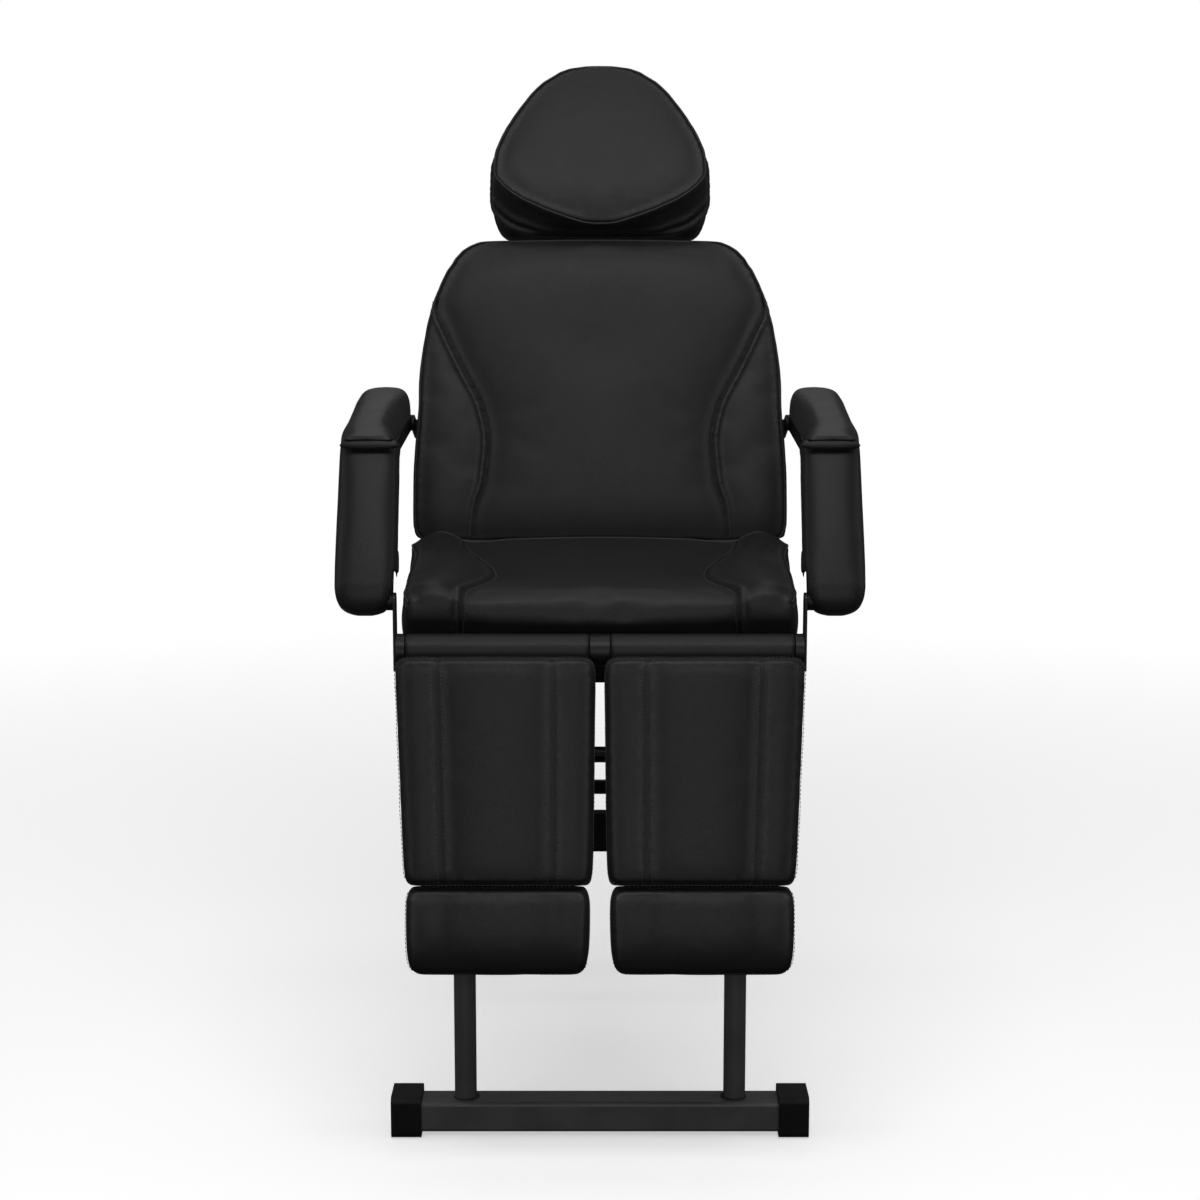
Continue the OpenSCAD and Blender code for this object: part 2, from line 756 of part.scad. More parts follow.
HEAD_BOARD_SHARES = [[0.45, 0.1], [0.85, 0.3], [0.85, 0.45], [0.5, 0.8], [0.2, 0.93]];
module headrest_board() {
    right = [for (p = HEAD_BOARD_SHARES) [p[0] * head_half_w, head_foot + p[1] * head_len]];
    left = [for (i = [len(right) - 1:-1:0]) [-right[i][0], right[i][1]]];
    color("#6d5a42") on_head() translate([0, head_board_t - head_back, 0]) rotate([90, 0, 0])
        linear_extrude(head_board_t) polygon(concat(right, left));
}

// Gas spring from the cross tube under the seat to the lugs low on the back
spring_foot_z = stay_z + spring_foot_rise;
spring_head_y = recline_y + lug_u * sin(back_lean) + lug_v * cos(back_lean);
spring_head_z = recline_z + lug_u * cos(back_lean) - lug_v * sin(back_lean);
spring_lean = atan2(spring_head_y - spring_tube_y, spring_head_z - spring_foot_z);
spring_len = sqrt(sq(spring_head_y - spring_tube_y) + sq(spring_head_z - spring_foot_z));
spring_body_len = spring_len * 0.55;

module on_spring() {
    translate([spring_x, spring_tube_y, spring_foot_z])
        rotate([-spring_lean - spring_lead, 0, 0]) children();
}

module gas_cylinder() {
    color("#1b1b1d") on_spring() {
        rod_x(spring_eye_r, -spring_eye_t / 2, spring_eye_t / 2);
        rod_x(spring_rod_r, -spring_eye_t / 2 - spring_lug_t - air, spring_eye_t / 2 + spring_lug_t + air);
        translate([0, 0, spring_neck]) cylinder(h = 2 * spring_r, r = spring_neck_r);
        difference() {
            translate([0, 0, 2 * spring_r]) cylinder(h = spring_body_len - 2 * spring_r, r = spring_r);
            translate([0, 0, 3 * spring_r])
                cylinder(h = spring_body_len, r = spring_rod_r + run);
        }
    }
}

module gas_rod() {
    rod_low = 3 * spring_r + spring_stroke;
    color("#b9bcc2") on_spring() {
        translate([0, 0, rod_low]) cylinder(h = spring_len - rod_low - spring_neck, r = spring_rod_r);
        translate([0, 0, spring_len]) {
            rod_x(spring_eye_r, -spring_eye_t / 2, spring_eye_t / 2);
            rod_x(spring_rod_r, -spring_eye_t / 2 - spring_lug_t - 2 * air,
                spring_eye_t / 2 + spring_lug_t + 2 * air);
        }
    }
}

// Armrests
module arm_bar(s) {
    color("#26272a") side(s) on_top_bar() difference() {
        union() {
            translate([top_bar_x, 0, -bar_half_h]) cube([arm_bar_t, top_bar_len, 2 * bar_half_h]);
            for (y = [0, top_bar_len]) translate([0, y, 0])
                rod_x(bar_end_r, top_bar_x, top_bar_x + arm_bar_t);
        }
        rod_x(arm_pin_r + elbow_play, top_bar_x - over, top_bar_x + arm_bar_t + over);
        translate([0, top_bar_len, 0])
            rod_x(arm_pin_r + run, top_bar_x - over, top_bar_x + arm_bar_t + over);
    }
}

// [along, half width, rise of the upper face, drop of the lower face, toe-out] of the top pad
ARM_ROW_SHARES = [
    [0, 0.97, 0, 1, 0], [0.12, 0.96, 0.08, 1, 0.3], [0.28, 0.93, 0.2, 1, 1], [0.45, 0.93, 0.42, 1, 1],
    [0.62, 0.95, 0.68, 1, 1], [0.78, 0.97, 0.9, 0.95, 1], [0.9, 0.94, 1, 0.85, 1],
    [0.96, 0.82, 0.92, 0.6, 0.9], [0.99, 0.64, 0.66, 0.3, 0.8], [1, 0.42, 0.32, 0, 0.8]];

module arm_pad(s) {
    length = top_bar_len + nose_r + arm_tail;
    rows = [for (r = ARM_ROW_SHARES) sleeve_row([r[0] * length - nose_r, r[1] * arm_w / 2,
        arm_mid + r[4] * arm_toe, lerp(nose_r + arm_lip, arm_hump, r[2]), r[3] * arm_under])];
    big = top_bar_len;
    color("#2b2b2d") side(s) difference() {
        on_top_bar() rotate([-90, 0, 0]) loft(rows);
        on_top_bar() rod_x(nose_r + soft_gap, arm_in - arm_toe, arm_in + 2 * arm_w);
        on_front_bar() translate([arm_in - arm_toe, nose_r + soft_gap - big, front_bar_len - big])
            cube([2 * arm_w, big, big]);
        // Room for the front pad where it swings up
        on_front_bar() translate([arm_in - arm_toe, 0, front_bar_len]) rotate([-arm_swing, 0, 0])
            translate([0, -nose_r - soft_gap, -big]) cube([2 * arm_w, nose_r + soft_gap, big]);
        // Slot for the bar
        on_top_bar() translate([top_bar_x, -nose_r, -2 * bar_end_r])
            cube([arm_bar_t, top_bar_len + nose_r + bar_end_r, 3 * bar_end_r]);
        // Pocket for the pivot plate of the back
        on_top_bar() translate([arm_in - arm_toe, top_bar_len - pocket_r, -2 * pocket_r])
            cube([top_bar_x - arm_in + arm_toe + over, 2 * pocket_r + arm_tail, 2 * pocket_r + bar_end_r]);
    }
}

module front_bar(s) {
    color("#26272a") side(s) on_front_bar() {
        difference() {
            union() {
                translate([front_bar_x, -bar_half_h, 0]) cube([arm_bar_t, 2 * bar_half_h, front_bar_len]);
                for (z = [0, front_bar_len]) translate([0, 0, z])
                    rod_x(bar_end_r, front_bar_x, front_bar_x + arm_bar_t);
            }
            rod_x(arm_pin_r + run, front_bar_x - over, front_bar_x + arm_bar_t + over);
        }
        translate([0, 0, front_bar_len])
            rod_x(arm_pin_r, front_bar_x + arm_bar_t, top_bar_x + arm_bar_t + air / 2);
    }
}

// [height, half width, depth] of the front pad below the elbow
FRONT_ROW_SHARES = [[0, 0.38, 0.3], [0.012, 0.54, 0.45], [0.035, 0.75, 0.66], [0.06, 0.86, 0.8],
    [0.1, 0.95, 0.92], [0.15, 1, 1], [0.3, 1.01, 1], [0.7, 0.98, 1], [1, 0.98, 1]];
NOSE_ANGLES = [20, 40, 58, 72, 84];

module front_pad(s) {
    span = front_bar_len + arm_foot_drop;
    low = [for (r = FRONT_ROW_SHARES) sleeve_row([r[0] * span - arm_foot_drop, r[1] * arm_w / 2,
        arm_mid, r[2] * nose_r, r[2] * nose_r])];
    nose = [for (a = NOSE_ANGLES) sleeve_row([front_bar_len + nose_r * sin(a),
        arm_w / 2 * 0.98, arm_mid, nose_r * cos(a), nose_r * cos(a)])];
    color("#2b2b2d") side(s) difference() {
        on_front_bar() loft(concat(low, nose));
        // Slot for the two bars
        on_front_bar() translate([front_bar_x, -bar_end_r, -bar_end_r])
            cube([arm_bar_t, 2 * bar_end_r + nose_r, front_bar_len + 2 * bar_end_r]);
        on_front_bar() translate([top_bar_x - air, -nose_r * 0.6, front_bar_len - bar_end_r - 2 * air])
            cube([arm_bar_t + 2 * air, 3 * nose_r, 4 * bar_end_r]);
        // Room for the bracket at the foot
        on_front_bar() rod_x(1.5 * nose_r, arm_in - arm_toe, front_bar_x);
    }
}

// Leg rests
module leg_frame(s) {
    color("#26272a") side(s) on_leg() difference() {
        union() {
            rod_x(hub_r, centre_bracket_w / 2 + air, frame_half - air);
            for (x = [leg_mid - sleeve_x, leg_mid + sleeve_x])
                translate([x - sleeve_w / 2, sleeve_y - sleeve_w / 2, -sleeve_end])
                    cube([sleeve_w, sleeve_w, sleeve_end]);
            translate([leg_mid - sleeve_x, sleeve_y - sleeve_w / 2, -sleeve_end / 2])
                cube([2 * sleeve_x, sleeve_w / 2, sleeve_w]);
        }
        rod_x(hinge_rod_r + run, 0, frame_half);
        for (x = [leg_mid - sleeve_x, leg_mid + sleeve_x])
            translate([x, sleeve_y, -sleeve_end - over])
                cylinder(h = foot_travel + rod_keep + 2 * over, r = hinge_rod_r + run);
    }
}

module leg_board(s) {
    top = 2 * roll_r;
    width = 2 * calf_half_low - sleeve_w;
    color("#6d5a42") side(s) on_leg()
        translate([leg_mid - width / 2, leg_back, -calf_end + board_margin])
            cube([width, leg_board_t, calf_end - board_margin - top]);
}

// [height, half width share, front share, back share] of the calf pad, from its lower end
CALF_ROW_SHARES = [[0, 0.94, 0.72, 0.12], [0.02, 0.978, 0.88, 0.04], [0.06, 0.995, 0.97, 0],
    [0.2, 1, 1, 0], [0.5, 1, 1, 0], [0.8, 1, 1, 0], [0.9, 1, 1, 0], [0.945, 0.995, 0.98, 0.22],
    [0.975, 0.98, 0.93, 0.34], [1, 0.94, 0.8, 0.46]];
calf_seam_share = 0.57;
calf_edge_t = 50;
calf_seam_t = 53;
calf_side_crown = 4;
calf_round = 7;
calf_channel = 4;

module calf_pad(s) {
    style = [calf_edge_t, calf_seam_t, calf_t - calf_seam_t, calf_side_crown, calf_channel, calf_round];
    rows = [for (r = CALF_ROW_SHARES) full_row([lerp(-calf_end, -calf_start, r[0]),
        r[1] * lerp(calf_half_low, calf_half_top, r[0]), lerp(calf_mid_low, calf_mid_top, r[0]),
        r[2], r[3], calf_seam_share, 1], style)];
    color("#2b2b2d") side(s) on_leg() translate([0, leg_back, 0]) loft(rows);
}

module knee_roll(s) {
    x0 = centre_bracket_w / 2 + air;
    color("#2b2b2d") side(s) on_leg() difference() {
        rod_x(roll_r, x0, frame_half - air);
        rod_x(hub_r, x0 - over, frame_half + over);
        for (x = [leg_mid - sleeve_x, leg_mid + sleeve_x])
            translate([x - sleeve_w / 2, sleeve_y - sleeve_w / 2, -2 * roll_r])
                cube([sleeve_w, sleeve_w, 2 * roll_r]);
    }
}

// Rods and plate that carry the foot pad
module foot_slide(s) {
    rod_top = sleeve_end - foot_travel - rod_keep;
    plate_low = foot_end - foot_len / 5;
    color("#9a9da3") side(s) on_leg() {
        for (x = [leg_mid - sleeve_x, leg_mid + sleeve_x])
            translate([x, sleeve_y, -plate_low]) cylinder(h = plate_low - rod_top, r = hinge_rod_r);
        translate([leg_mid - sleeve_x - sleeve_w, sleeve_y - hinge_rod_r - foot_plate_t / 2, -plate_low])
            cube([2 * (sleeve_x + sleeve_w), foot_plate_t, plate_low - foot_start - board_margin]);
    }
}

// [height, half width, front share, back share] of the foot pad, from its lower end
FOOT_ROW_SHARES = [[0, 0.87, 0.45, 0.15], [0.05, 0.935, 0.72, 0.06], [0.14, 0.972, 0.9, 0],
    [0.3, 0.995, 0.98, 0], [0.55, 1, 1, 0], [0.8, 1, 0.96, 0], [0.92, 0.98, 0.86, 0.03],
    [1, 0.93, 0.62, 0.12]];
foot_edge_t = 62;
foot_seam_t = 64;
foot_side_crown = 2;
foot_seam_share = 0.6;

module foot_pad(s) {
    plane = sleeve_y - hinge_rod_r - foot_plate_t / 2;
    style = [foot_edge_t, foot_seam_t, foot_t - foot_seam_t, foot_side_crown, 0, calf_round];
    rows = [for (r = FOOT_ROW_SHARES) full_row([lerp(-foot_end, -foot_start, r[0]),
        r[1] * lerp(foot_half_low, foot_half, r[0]), foot_mid, r[2], r[3], foot_seam_share, 1], style)];
    color("#2b2b2d") side(s) on_leg() translate([0, plane, 0]) loft(rows);
}

foot_bar();
foot_bar_caps();
upright(1);  // upright_left
upright(-1);  // upright_right
flat_cross_member();
upper_cross_tube();
stay(1);  // stay_left
stay(-1);  // stay_right
spring_cross_tube();
rear_leg(1);  // rear_leg_left
rear_leg(-1);  // rear_leg_right
rear_cross_tube();
rear_feet();
rail(1);  // rail_left
rail(-1);  // rail_right
seat_cross_tubes();
seat_board();
seat_cushion();
recline_ears();
recline_pins();
arm_brackets();
outer_hinge_brackets();
centre_hinge_bracket();
hinge_rods();
back_tube(1);  // back_tube_left
back_tube(-1);  // back_tube_right
back_cross_tubes();
arm_outriggers();
back_board();
back_cushion();
post_guides();
guide_knob();
headrest_posts();
headrest_lugs();
headrest_board();
headrest_cushion();
gas_cylinder();
gas_rod();
arm_bar(1);  // arm_bar_left
arm_pad(1);  // arm_pad_left
arm_bar(-1);  // arm_bar_right
arm_pad(-1);  // arm_pad_right
front_bar(1);  // front_bar_left
front_pad(1);  // front_pad_left
front_bar(-1);  // front_bar_right
front_pad(-1);  // front_pad_right
leg_frame(1);  // leg_frame_left
leg_board(1);  // leg_board_left
calf_pad(1);  // calf_pad_left
knee_roll(1);  // knee_roll_left
leg_frame(-1);  // leg_frame_right
leg_board(-1);  // leg_board_right
calf_pad(-1);  // calf_pad_right
knee_roll(-1);  // knee_roll_right
foot_slide(1);  // foot_slide_left
foot_pad(1);  // foot_pad_left
foot_slide(-1);  // foot_slide_right
foot_pad(-1);  // foot_pad_right
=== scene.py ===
"""Looks of a padded pedicure chair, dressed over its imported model.

Sizes in the classes are millimetres, as on a maker's drawing, and a mesh is brought to metres
when it is made. +X is the sitter's left side, the front faces -Y and the floor is z = 0.
"""

import json
import logging
import math
from dataclasses import dataclass, field
from enum import Enum
from typing import Sequence

import bmesh
import bpy
import numpy as np
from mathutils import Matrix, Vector
from mathutils.bvhtree import BVHTree

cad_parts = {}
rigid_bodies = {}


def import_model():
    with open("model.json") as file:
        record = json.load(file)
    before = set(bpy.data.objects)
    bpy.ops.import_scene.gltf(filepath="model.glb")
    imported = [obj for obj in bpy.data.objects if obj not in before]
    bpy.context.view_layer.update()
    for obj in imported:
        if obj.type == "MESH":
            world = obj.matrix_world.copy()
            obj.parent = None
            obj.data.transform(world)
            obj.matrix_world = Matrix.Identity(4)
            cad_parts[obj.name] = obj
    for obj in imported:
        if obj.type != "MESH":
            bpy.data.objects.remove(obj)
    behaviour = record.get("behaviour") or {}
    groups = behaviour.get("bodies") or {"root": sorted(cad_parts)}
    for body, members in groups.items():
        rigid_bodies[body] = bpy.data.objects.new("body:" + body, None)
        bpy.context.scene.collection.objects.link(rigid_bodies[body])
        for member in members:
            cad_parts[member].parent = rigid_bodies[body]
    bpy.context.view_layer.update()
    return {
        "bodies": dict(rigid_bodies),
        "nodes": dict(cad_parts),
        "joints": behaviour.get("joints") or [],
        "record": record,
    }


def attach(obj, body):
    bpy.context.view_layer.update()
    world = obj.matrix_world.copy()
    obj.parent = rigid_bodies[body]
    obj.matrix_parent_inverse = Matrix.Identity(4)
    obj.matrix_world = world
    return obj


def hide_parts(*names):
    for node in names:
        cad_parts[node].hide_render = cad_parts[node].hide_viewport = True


MM = 0.001
log = logging.getLogger("pedicure_chair")
Array = np.ndarray
Object = bpy.types.Object
Mesh = bpy.types.Mesh
Material = bpy.types.Material
Socket = bpy.types.NodeSocket


class Side(Enum):
    """Side of the chair, as the sitter has it."""

    LEFT = 1
    RIGHT = -1

    @property
    def word(self) -> str:
        """Name of the side, as the nodes and bodies have it."""
        return self.name.lower()


# numbers and curves


def lerp(a: Array | float, b: Array | float, t: Array | float) -> Array | float:
    """Straight mix a + (b - a) t."""
    return a + (b - a) * t


def swell(t: Array) -> Array:
    """Bulge 4 t (1 - t), zero at both ends and one in the middle."""
    return 4 * t * (1 - t)


def bell(distance: Array, width: float) -> Array:
    """Bell exp(-(d / w)^2)."""
    return np.exp(-((distance / width) ** 2))


def smooth_through(at: Array, stations: Sequence[float], values: Array) -> Array:
    """Cubic through rows of values that never overshoots them.

    The slope at a station is the harmonic mean of its two chords, and zero where they differ in
    sign: 2ab / (a + b). Between stations the curve is the Hermite cubic.

    Args:
        at: places to read, (m,).
        stations: places of the rows, rising, (n,).
        values: rows, (n, k).

    Returns:
        Values at those places, (m, k).
    """
    xs = np.asarray(stations, float)
    ys = np.asarray(values, float).reshape(len(xs), -1)
    gap = np.diff(xs)[:, None]
    chord = np.diff(ys, axis=0) / gap
    a, b = chord[:-1], chord[1:]
    inner = np.where(a * b > 0, 2 * a * b / np.where(a + b == 0, 1, a + b), 0.0)
    slope = np.vstack([chord[:1], inner, chord[-1:]])
    i = np.clip(np.searchsorted(xs, at, side="right") - 1, 0, len(xs) - 2)
    t = ((at - xs[i]) / gap[i, 0])[:, None]
    step = gap[i]
    return (
        (1 + 2 * t) * (1 - t) ** 2 * ys[i]
        + t * (1 - t) ** 2 * step * slope[i]
        + t * t * (3 - 2 * t) * ys[i + 1]
        + t * t * (t - 1) * step * slope[i + 1]
    )


def unit(vectors: Array) -> Array:
    """Vectors divided by their lengths."""
    return vectors / np.maximum(np.linalg.norm(vectors, axis=-1, keepdims=True), 1e-12)


def resample(path: Array, pitch: float, closed: bool = False, middles: bool = False) -> Array:
    """Rows at even steps of about the pitch along a path.

    Args:
        path: rows whose first three columns are points, (n, k).
        pitch: wanted step, in the path's unit.
        closed: whether the last point joins the first.
        middles: whether the rows are taken at the middles of the steps.

    Returns:
        Rows, (m, k); a closed path's first row isn't repeated.
    """
    line = np.vstack([path, path[:1]]) if closed else path
    run = np.concatenate([[0], np.cumsum(np.linalg.norm(np.diff(line[:, :3], axis=0), axis=1))])
    count = max(3, int(round(run[-1] / pitch)))
    at = np.linspace(0, run[-1], count + 1)
    if middles:
        at = (np.arange(count) + 0.5) * run[-1] / count
    elif closed:
        at = at[:-1]
    return np.stack([np.interp(at, run, line[:, k]) for k in range(line.shape[1])], axis=1)


def tangents(path: Array, closed: bool) -> Array:
    """Unit direction of a path at each of its points.

    Args:
        path: points, (n, 3).
        closed: whether the last point joins the first.

    Returns:
        Unit vectors, (n, 3).
    """
    ahead = np.roll(path, -1, axis=0) - np.roll(path, 1, axis=0)
    if not closed:
        ahead[0], ahead[-1] = path[1] - path[0], path[-1] - path[-2]
    return unit(ahead)


def soften(path: Array, times: int, closed: bool = False) -> Array:
    """Path whose points are averaged with their neighbours: (p[i-1] + 2 p[i] + p[i+1]) / 4.

    Args:
        path: rows, (n, k).
        times: how often they are averaged.
        closed: whether the last row joins the first; otherwise both ends stay.

    Returns:
        Rows, (n, k).
    """
    out = path.copy()
    for _ in range(times):
        before, after = np.roll(out, 1, axis=0), np.roll(out, -1, axis=0)
        mean = (before + 2 * out + after) / 4
        if not closed:
            mean[0], mean[-1] = out[0], out[-1]
        out = mean
    return out


def ripple(along: Array, pitch: float, seed: int) -> Array:
    """Uneven wave of three sines near one pitch, with phases drawn from the seed.

    Args:
        along: places along a line, in millimetres.
        pitch: mean length of a wave.
        seed: for the phases.

    Returns:
        Heights of about -1 to 1.
    """
    phase = np.random.default_rng(seed).uniform(0, 2 * math.pi, 3)
    turns = 2 * math.pi * along / pitch
    return (
        np.sin(turns + phase[0])
        + 0.6 * np.sin(0.61 * turns + phase[1])
        + 0.4 * np.sin(1.83 * turns + phase[2])
    ) / 2


@dataclass(frozen=True)
class Pose:
    """Place of a group: an axis point and how far its own up leans back."""

    y: float
    z: float
    lean: float = 0.0

    def place(self, points: Array) -> Array:
        """Points of the group in the chair's frame: y' = y cos + z sin, z' = z cos - y sin.

        Args:
            points: in the group's frame, (..., 3).

        Returns:
            In the chair's frame, (..., 3).
        """
        c, s = math.cos(math.radians(self.lean)), math.sin(math.radians(self.lean))
        y, z = points[..., 1], points[..., 2]
        return np.stack([points[..., 0], self.y + y * c + z * s, self.z - y * s + z * c], axis=-1)

    def point(self, x: float, y: float, z: float) -> Array:
        """One point of the group in the chair's frame."""
        return self.place(np.array([x, y, z], float))

    def way(self, x: float, y: float, z: float) -> Array:
        """One direction of the group in the chair's frame."""
        return self.point(x, y, z) - self.point(0, 0, 0)

    def child(self, y: float, z: float, lean: float) -> "Pose":
        """Pose of a group that stands at a point of this one, with a further lean."""
        at = self.point(0, y, z)
        return Pose(float(at[1]), float(at[2]), self.lean + lean)


# meshes


def placed(name: str, data: bpy.types.ID) -> Object:
    """New object of the scene with that data.

    Args:
        name: the object's name.
        data: its mesh, light or camera.

    Returns:
        The object.
    """
    made = bpy.data.objects.new(name, data)
    bpy.context.scene.collection.objects.link(made)
    return made


def make_object(name: str, points: Array, faces: Array | list, smooth: bool = True) -> Object:
    """Object from points in millimetres and faces.

    Args:
        name: the piece's name.
        points: (n, 3), in the chair's frame.
        faces: index rows of one length, or lists of any length.
        smooth: whether the faces are shaded smooth.

    Returns:
        The object, at the origin, with its place in its mesh.
    """
    mesh = bpy.data.meshes.new(name)
    rows = faces.tolist() if isinstance(faces, np.ndarray) else faces
    mesh.from_pydata((np.asarray(points, float) * MM).tolist(), [], rows)
    mesh.polygons.foreach_set("use_smooth", np.full(len(mesh.polygons), smooth))
    mesh.update()
    return placed(name, mesh)


def grid_faces(rows: int, columns: int, wrap_rows: bool) -> Array:
    """Quads of rings of points: (i, j), (i, j+1), (i+1, j+1), (i+1, j), with j going round.

    Args:
        rows: number of rings.
        columns: points of each ring.
        wrap_rows: whether the last ring joins the first.

    Returns:
        Index rows, (n, 4).
    """
    i = np.arange(rows if wrap_rows else rows - 1)
    a, b = np.meshgrid(i, np.arange(columns), indexing="ij")
    here, down = a * columns, (a + 1) % rows * columns
    right = (b + 1) % columns
    return np.stack([here + b, here + right, down + right, down + b]).reshape(4, -1).T


def grid_object(name: str, points: Array, wrap_rows: bool = False, capped: bool = True,
                smooth: bool = True) -> Object:
    """Object from rings of points, (rows, columns, 3), with flat caps on an open tube.

    Args:
        name: the piece's name.
        points: rings, (rows, columns, 3).
        wrap_rows: whether the last ring joins the first.
        capped: whether an open tube gets its two caps.
        smooth: whether the faces are shaded smooth.

    Returns:
        The piece, with its faces outwards.
    """
    rows, columns = points.shape[:2]
    faces = grid_faces(rows, columns, wrap_rows).tolist()
    if capped and not wrap_rows:
        faces += [list(range(columns))[::-1], list(range((rows - 1) * columns, rows * columns))]
    made = make_object(name, points.reshape(-1, 3), faces, smooth)
    outward(made)
    return made


def outward(piece: Object) -> None:
    """Turns the faces of a closed piece outwards, after its doubles are merged.

    Args:
        piece: a closed piece.
    """
    work = bmesh.new()
    work.from_mesh(piece.data)
    bmesh.ops.remove_doubles(work, verts=work.verts, dist=1e-6)
    bmesh.ops.recalc_face_normals(work, faces=work.faces)
    work.to_mesh(piece.data)
    work.free()


def joined(name: str, parts: Sequence[Object]) -> Object:
    """One object from several, whose own objects are removed.

    Args:
        name: the new object's name.
        parts: objects to join.

    Returns:
        The object.
    """
    work = bmesh.new()
    for part in parts:
        work.from_mesh(part.data)
    mesh = bpy.data.meshes.new(name)
    work.to_mesh(mesh)
    work.free()
    for part in parts:
        old = part.data
        bpy.data.objects.remove(part)
        bpy.data.meshes.remove(old)
    return placed(name, mesh)


def read_points(mesh: Mesh) -> tuple[Array, Array]:
    """Points in millimetres and their normals.

    Args:
        mesh: the mesh to read.

    Returns:
        Points and unit normals, both (n, 3).
    """
    points = np.empty(len(mesh.vertices) * 3)
    normals = np.empty(len(mesh.vertices) * 3)
    mesh.vertices.foreach_get("co", points)
    mesh.vertices.foreach_get("normal", normals)
    return points.reshape(-1, 3) / MM, normals.reshape(-1, 3)


def write_points(mesh: Mesh, points: Array) -> None:
    """Puts points in millimetres into a mesh."""
    mesh.vertices.foreach_set("co", (points * MM).ravel())
    mesh.update()


def apply_modifiers(piece: Object) -> None:
    """Replaces a piece's mesh by what its modifiers make of it, and drops them.

    Args:
        piece: an object with live modifiers.
    """
    graph = bpy.context.evaluated_depsgraph_get()
    mesh = bpy.data.meshes.new_from_object(piece.evaluated_get(graph), depsgraph=graph)
    old = piece.data
    piece.modifiers.clear()
    piece.data = mesh
    mesh.name = piece.name
    bpy.data.meshes.remove(old)


def lathe(name: str, profile: Array, centre: Array, axis: Array, sides: int = 32, lobes: int = 0,
          lobe_depth: float = 0.0) -> Object:
    """Turned piece: each (radius, height) of the profile carried round an axis.

    Point = centre + axis h + r (1 + lobe_depth cos(lobes a)) (u cos a + v sin a), with u and v
    square to the axis. Pieces of six sides or fewer are shaded flat.

    Args:
        name: the piece's name.
        profile: radii and heights, (n, 2).
        centre: foot of the axis.
        axis: direction of the axis.
        sides: points round the axis.
        lobes: waves round the piece.
        lobe_depth: height of a wave, as a share of the radius.

    Returns:
        The piece.
    """
    axis = unit(np.asarray(axis, float))
    u = unit(np.cross(axis, [0.3, 0.9, 0.2]))
    v = np.cross(axis, u)
    angle = np.linspace(0, 2 * math.pi, sides, endpoint=False)
    around = np.cos(angle)[:, None] * u + np.sin(angle)[:, None] * v
    r, h = profile[:, 0], profile[:, 1]
    reach = (1 + lobe_depth * np.cos(lobes * angle))[:, None] * around
    points = np.asarray(centre, float) + h[:, None, None] * axis + r[:, None, None] * reach
    return grid_object(name, points, smooth=sides > 6)


def tube(name: str, path: Array, normals: Array, radius: Array | float, sides: int = 8,
         closed: bool = False) -> Object:
    """Round cord along a path: p + r (n cos a + b sin a), b being the path's direction across n.

    Args:
        name: the piece's name.
        path: points, (n, 3).
        normals: a direction beside the path at each point, (n, 3).
        radius: one for all, or one a point.
        sides: points round the cord.
        closed: whether the last point joins the first.

    Returns:
        The cord.
    """
    t = tangents(path, closed)
    n = unit(normals - (normals * t).sum(1, keepdims=True) * t)
    b = np.cross(t, n)
    angle = np.linspace(0, 2 * math.pi, sides, endpoint=False)
    r = np.broadcast_to(np.asarray(radius, float), (len(path),))
    ring = np.cos(angle)[None, :, None] * n[:, None] + np.sin(angle)[None, :, None] * b[:, None]
    return grid_object(name, path[:, None] + r[:, None, None] * ring, wrap_rows=closed)


# shader arithmetic


class Value:
    """One number inside a material, so that shader sums read as plain arithmetic."""

    def __init__(self, net: "Net", socket: Socket) -> None:
        """Wraps an output socket of the net."""
        self.net = net
        self.socket = socket

    def _sum(self, operation: str, first: "Value | float", second: "Value | float") -> "Value":
        """Math node of one operation on two values."""
        return self.net.value("ShaderNodeMath", {"operation": operation}, {0: first, 1: second})

    def __add__(self, other: "Value | float") -> "Value":
        """self + other."""
        return self._sum("ADD", self, other)

    __radd__ = __add__

    def __mul__(self, other: "Value | float") -> "Value":
        """self * other."""
        return self._sum("MULTIPLY", self, other)

    def __sub__(self, other: "Value | float") -> "Value":
        """self - other."""
        return self._sum("SUBTRACT", self, other)

    def __rsub__(self, other: float) -> "Value":
        """other - self."""
        return self._sum("SUBTRACT", other, self)

    def between(self, low: float, high: float) -> "Value":
        """Smooth step from 0 at low to 1 at high.

        Args:
            low: where the step starts.
            high: where it ends.

        Returns:
            The step.
        """
        return self.net.value(
            "ShaderNodeMapRange", {"interpolation_type": "SMOOTHSTEP"}, {0: self, 1: low, 2: high}
        )


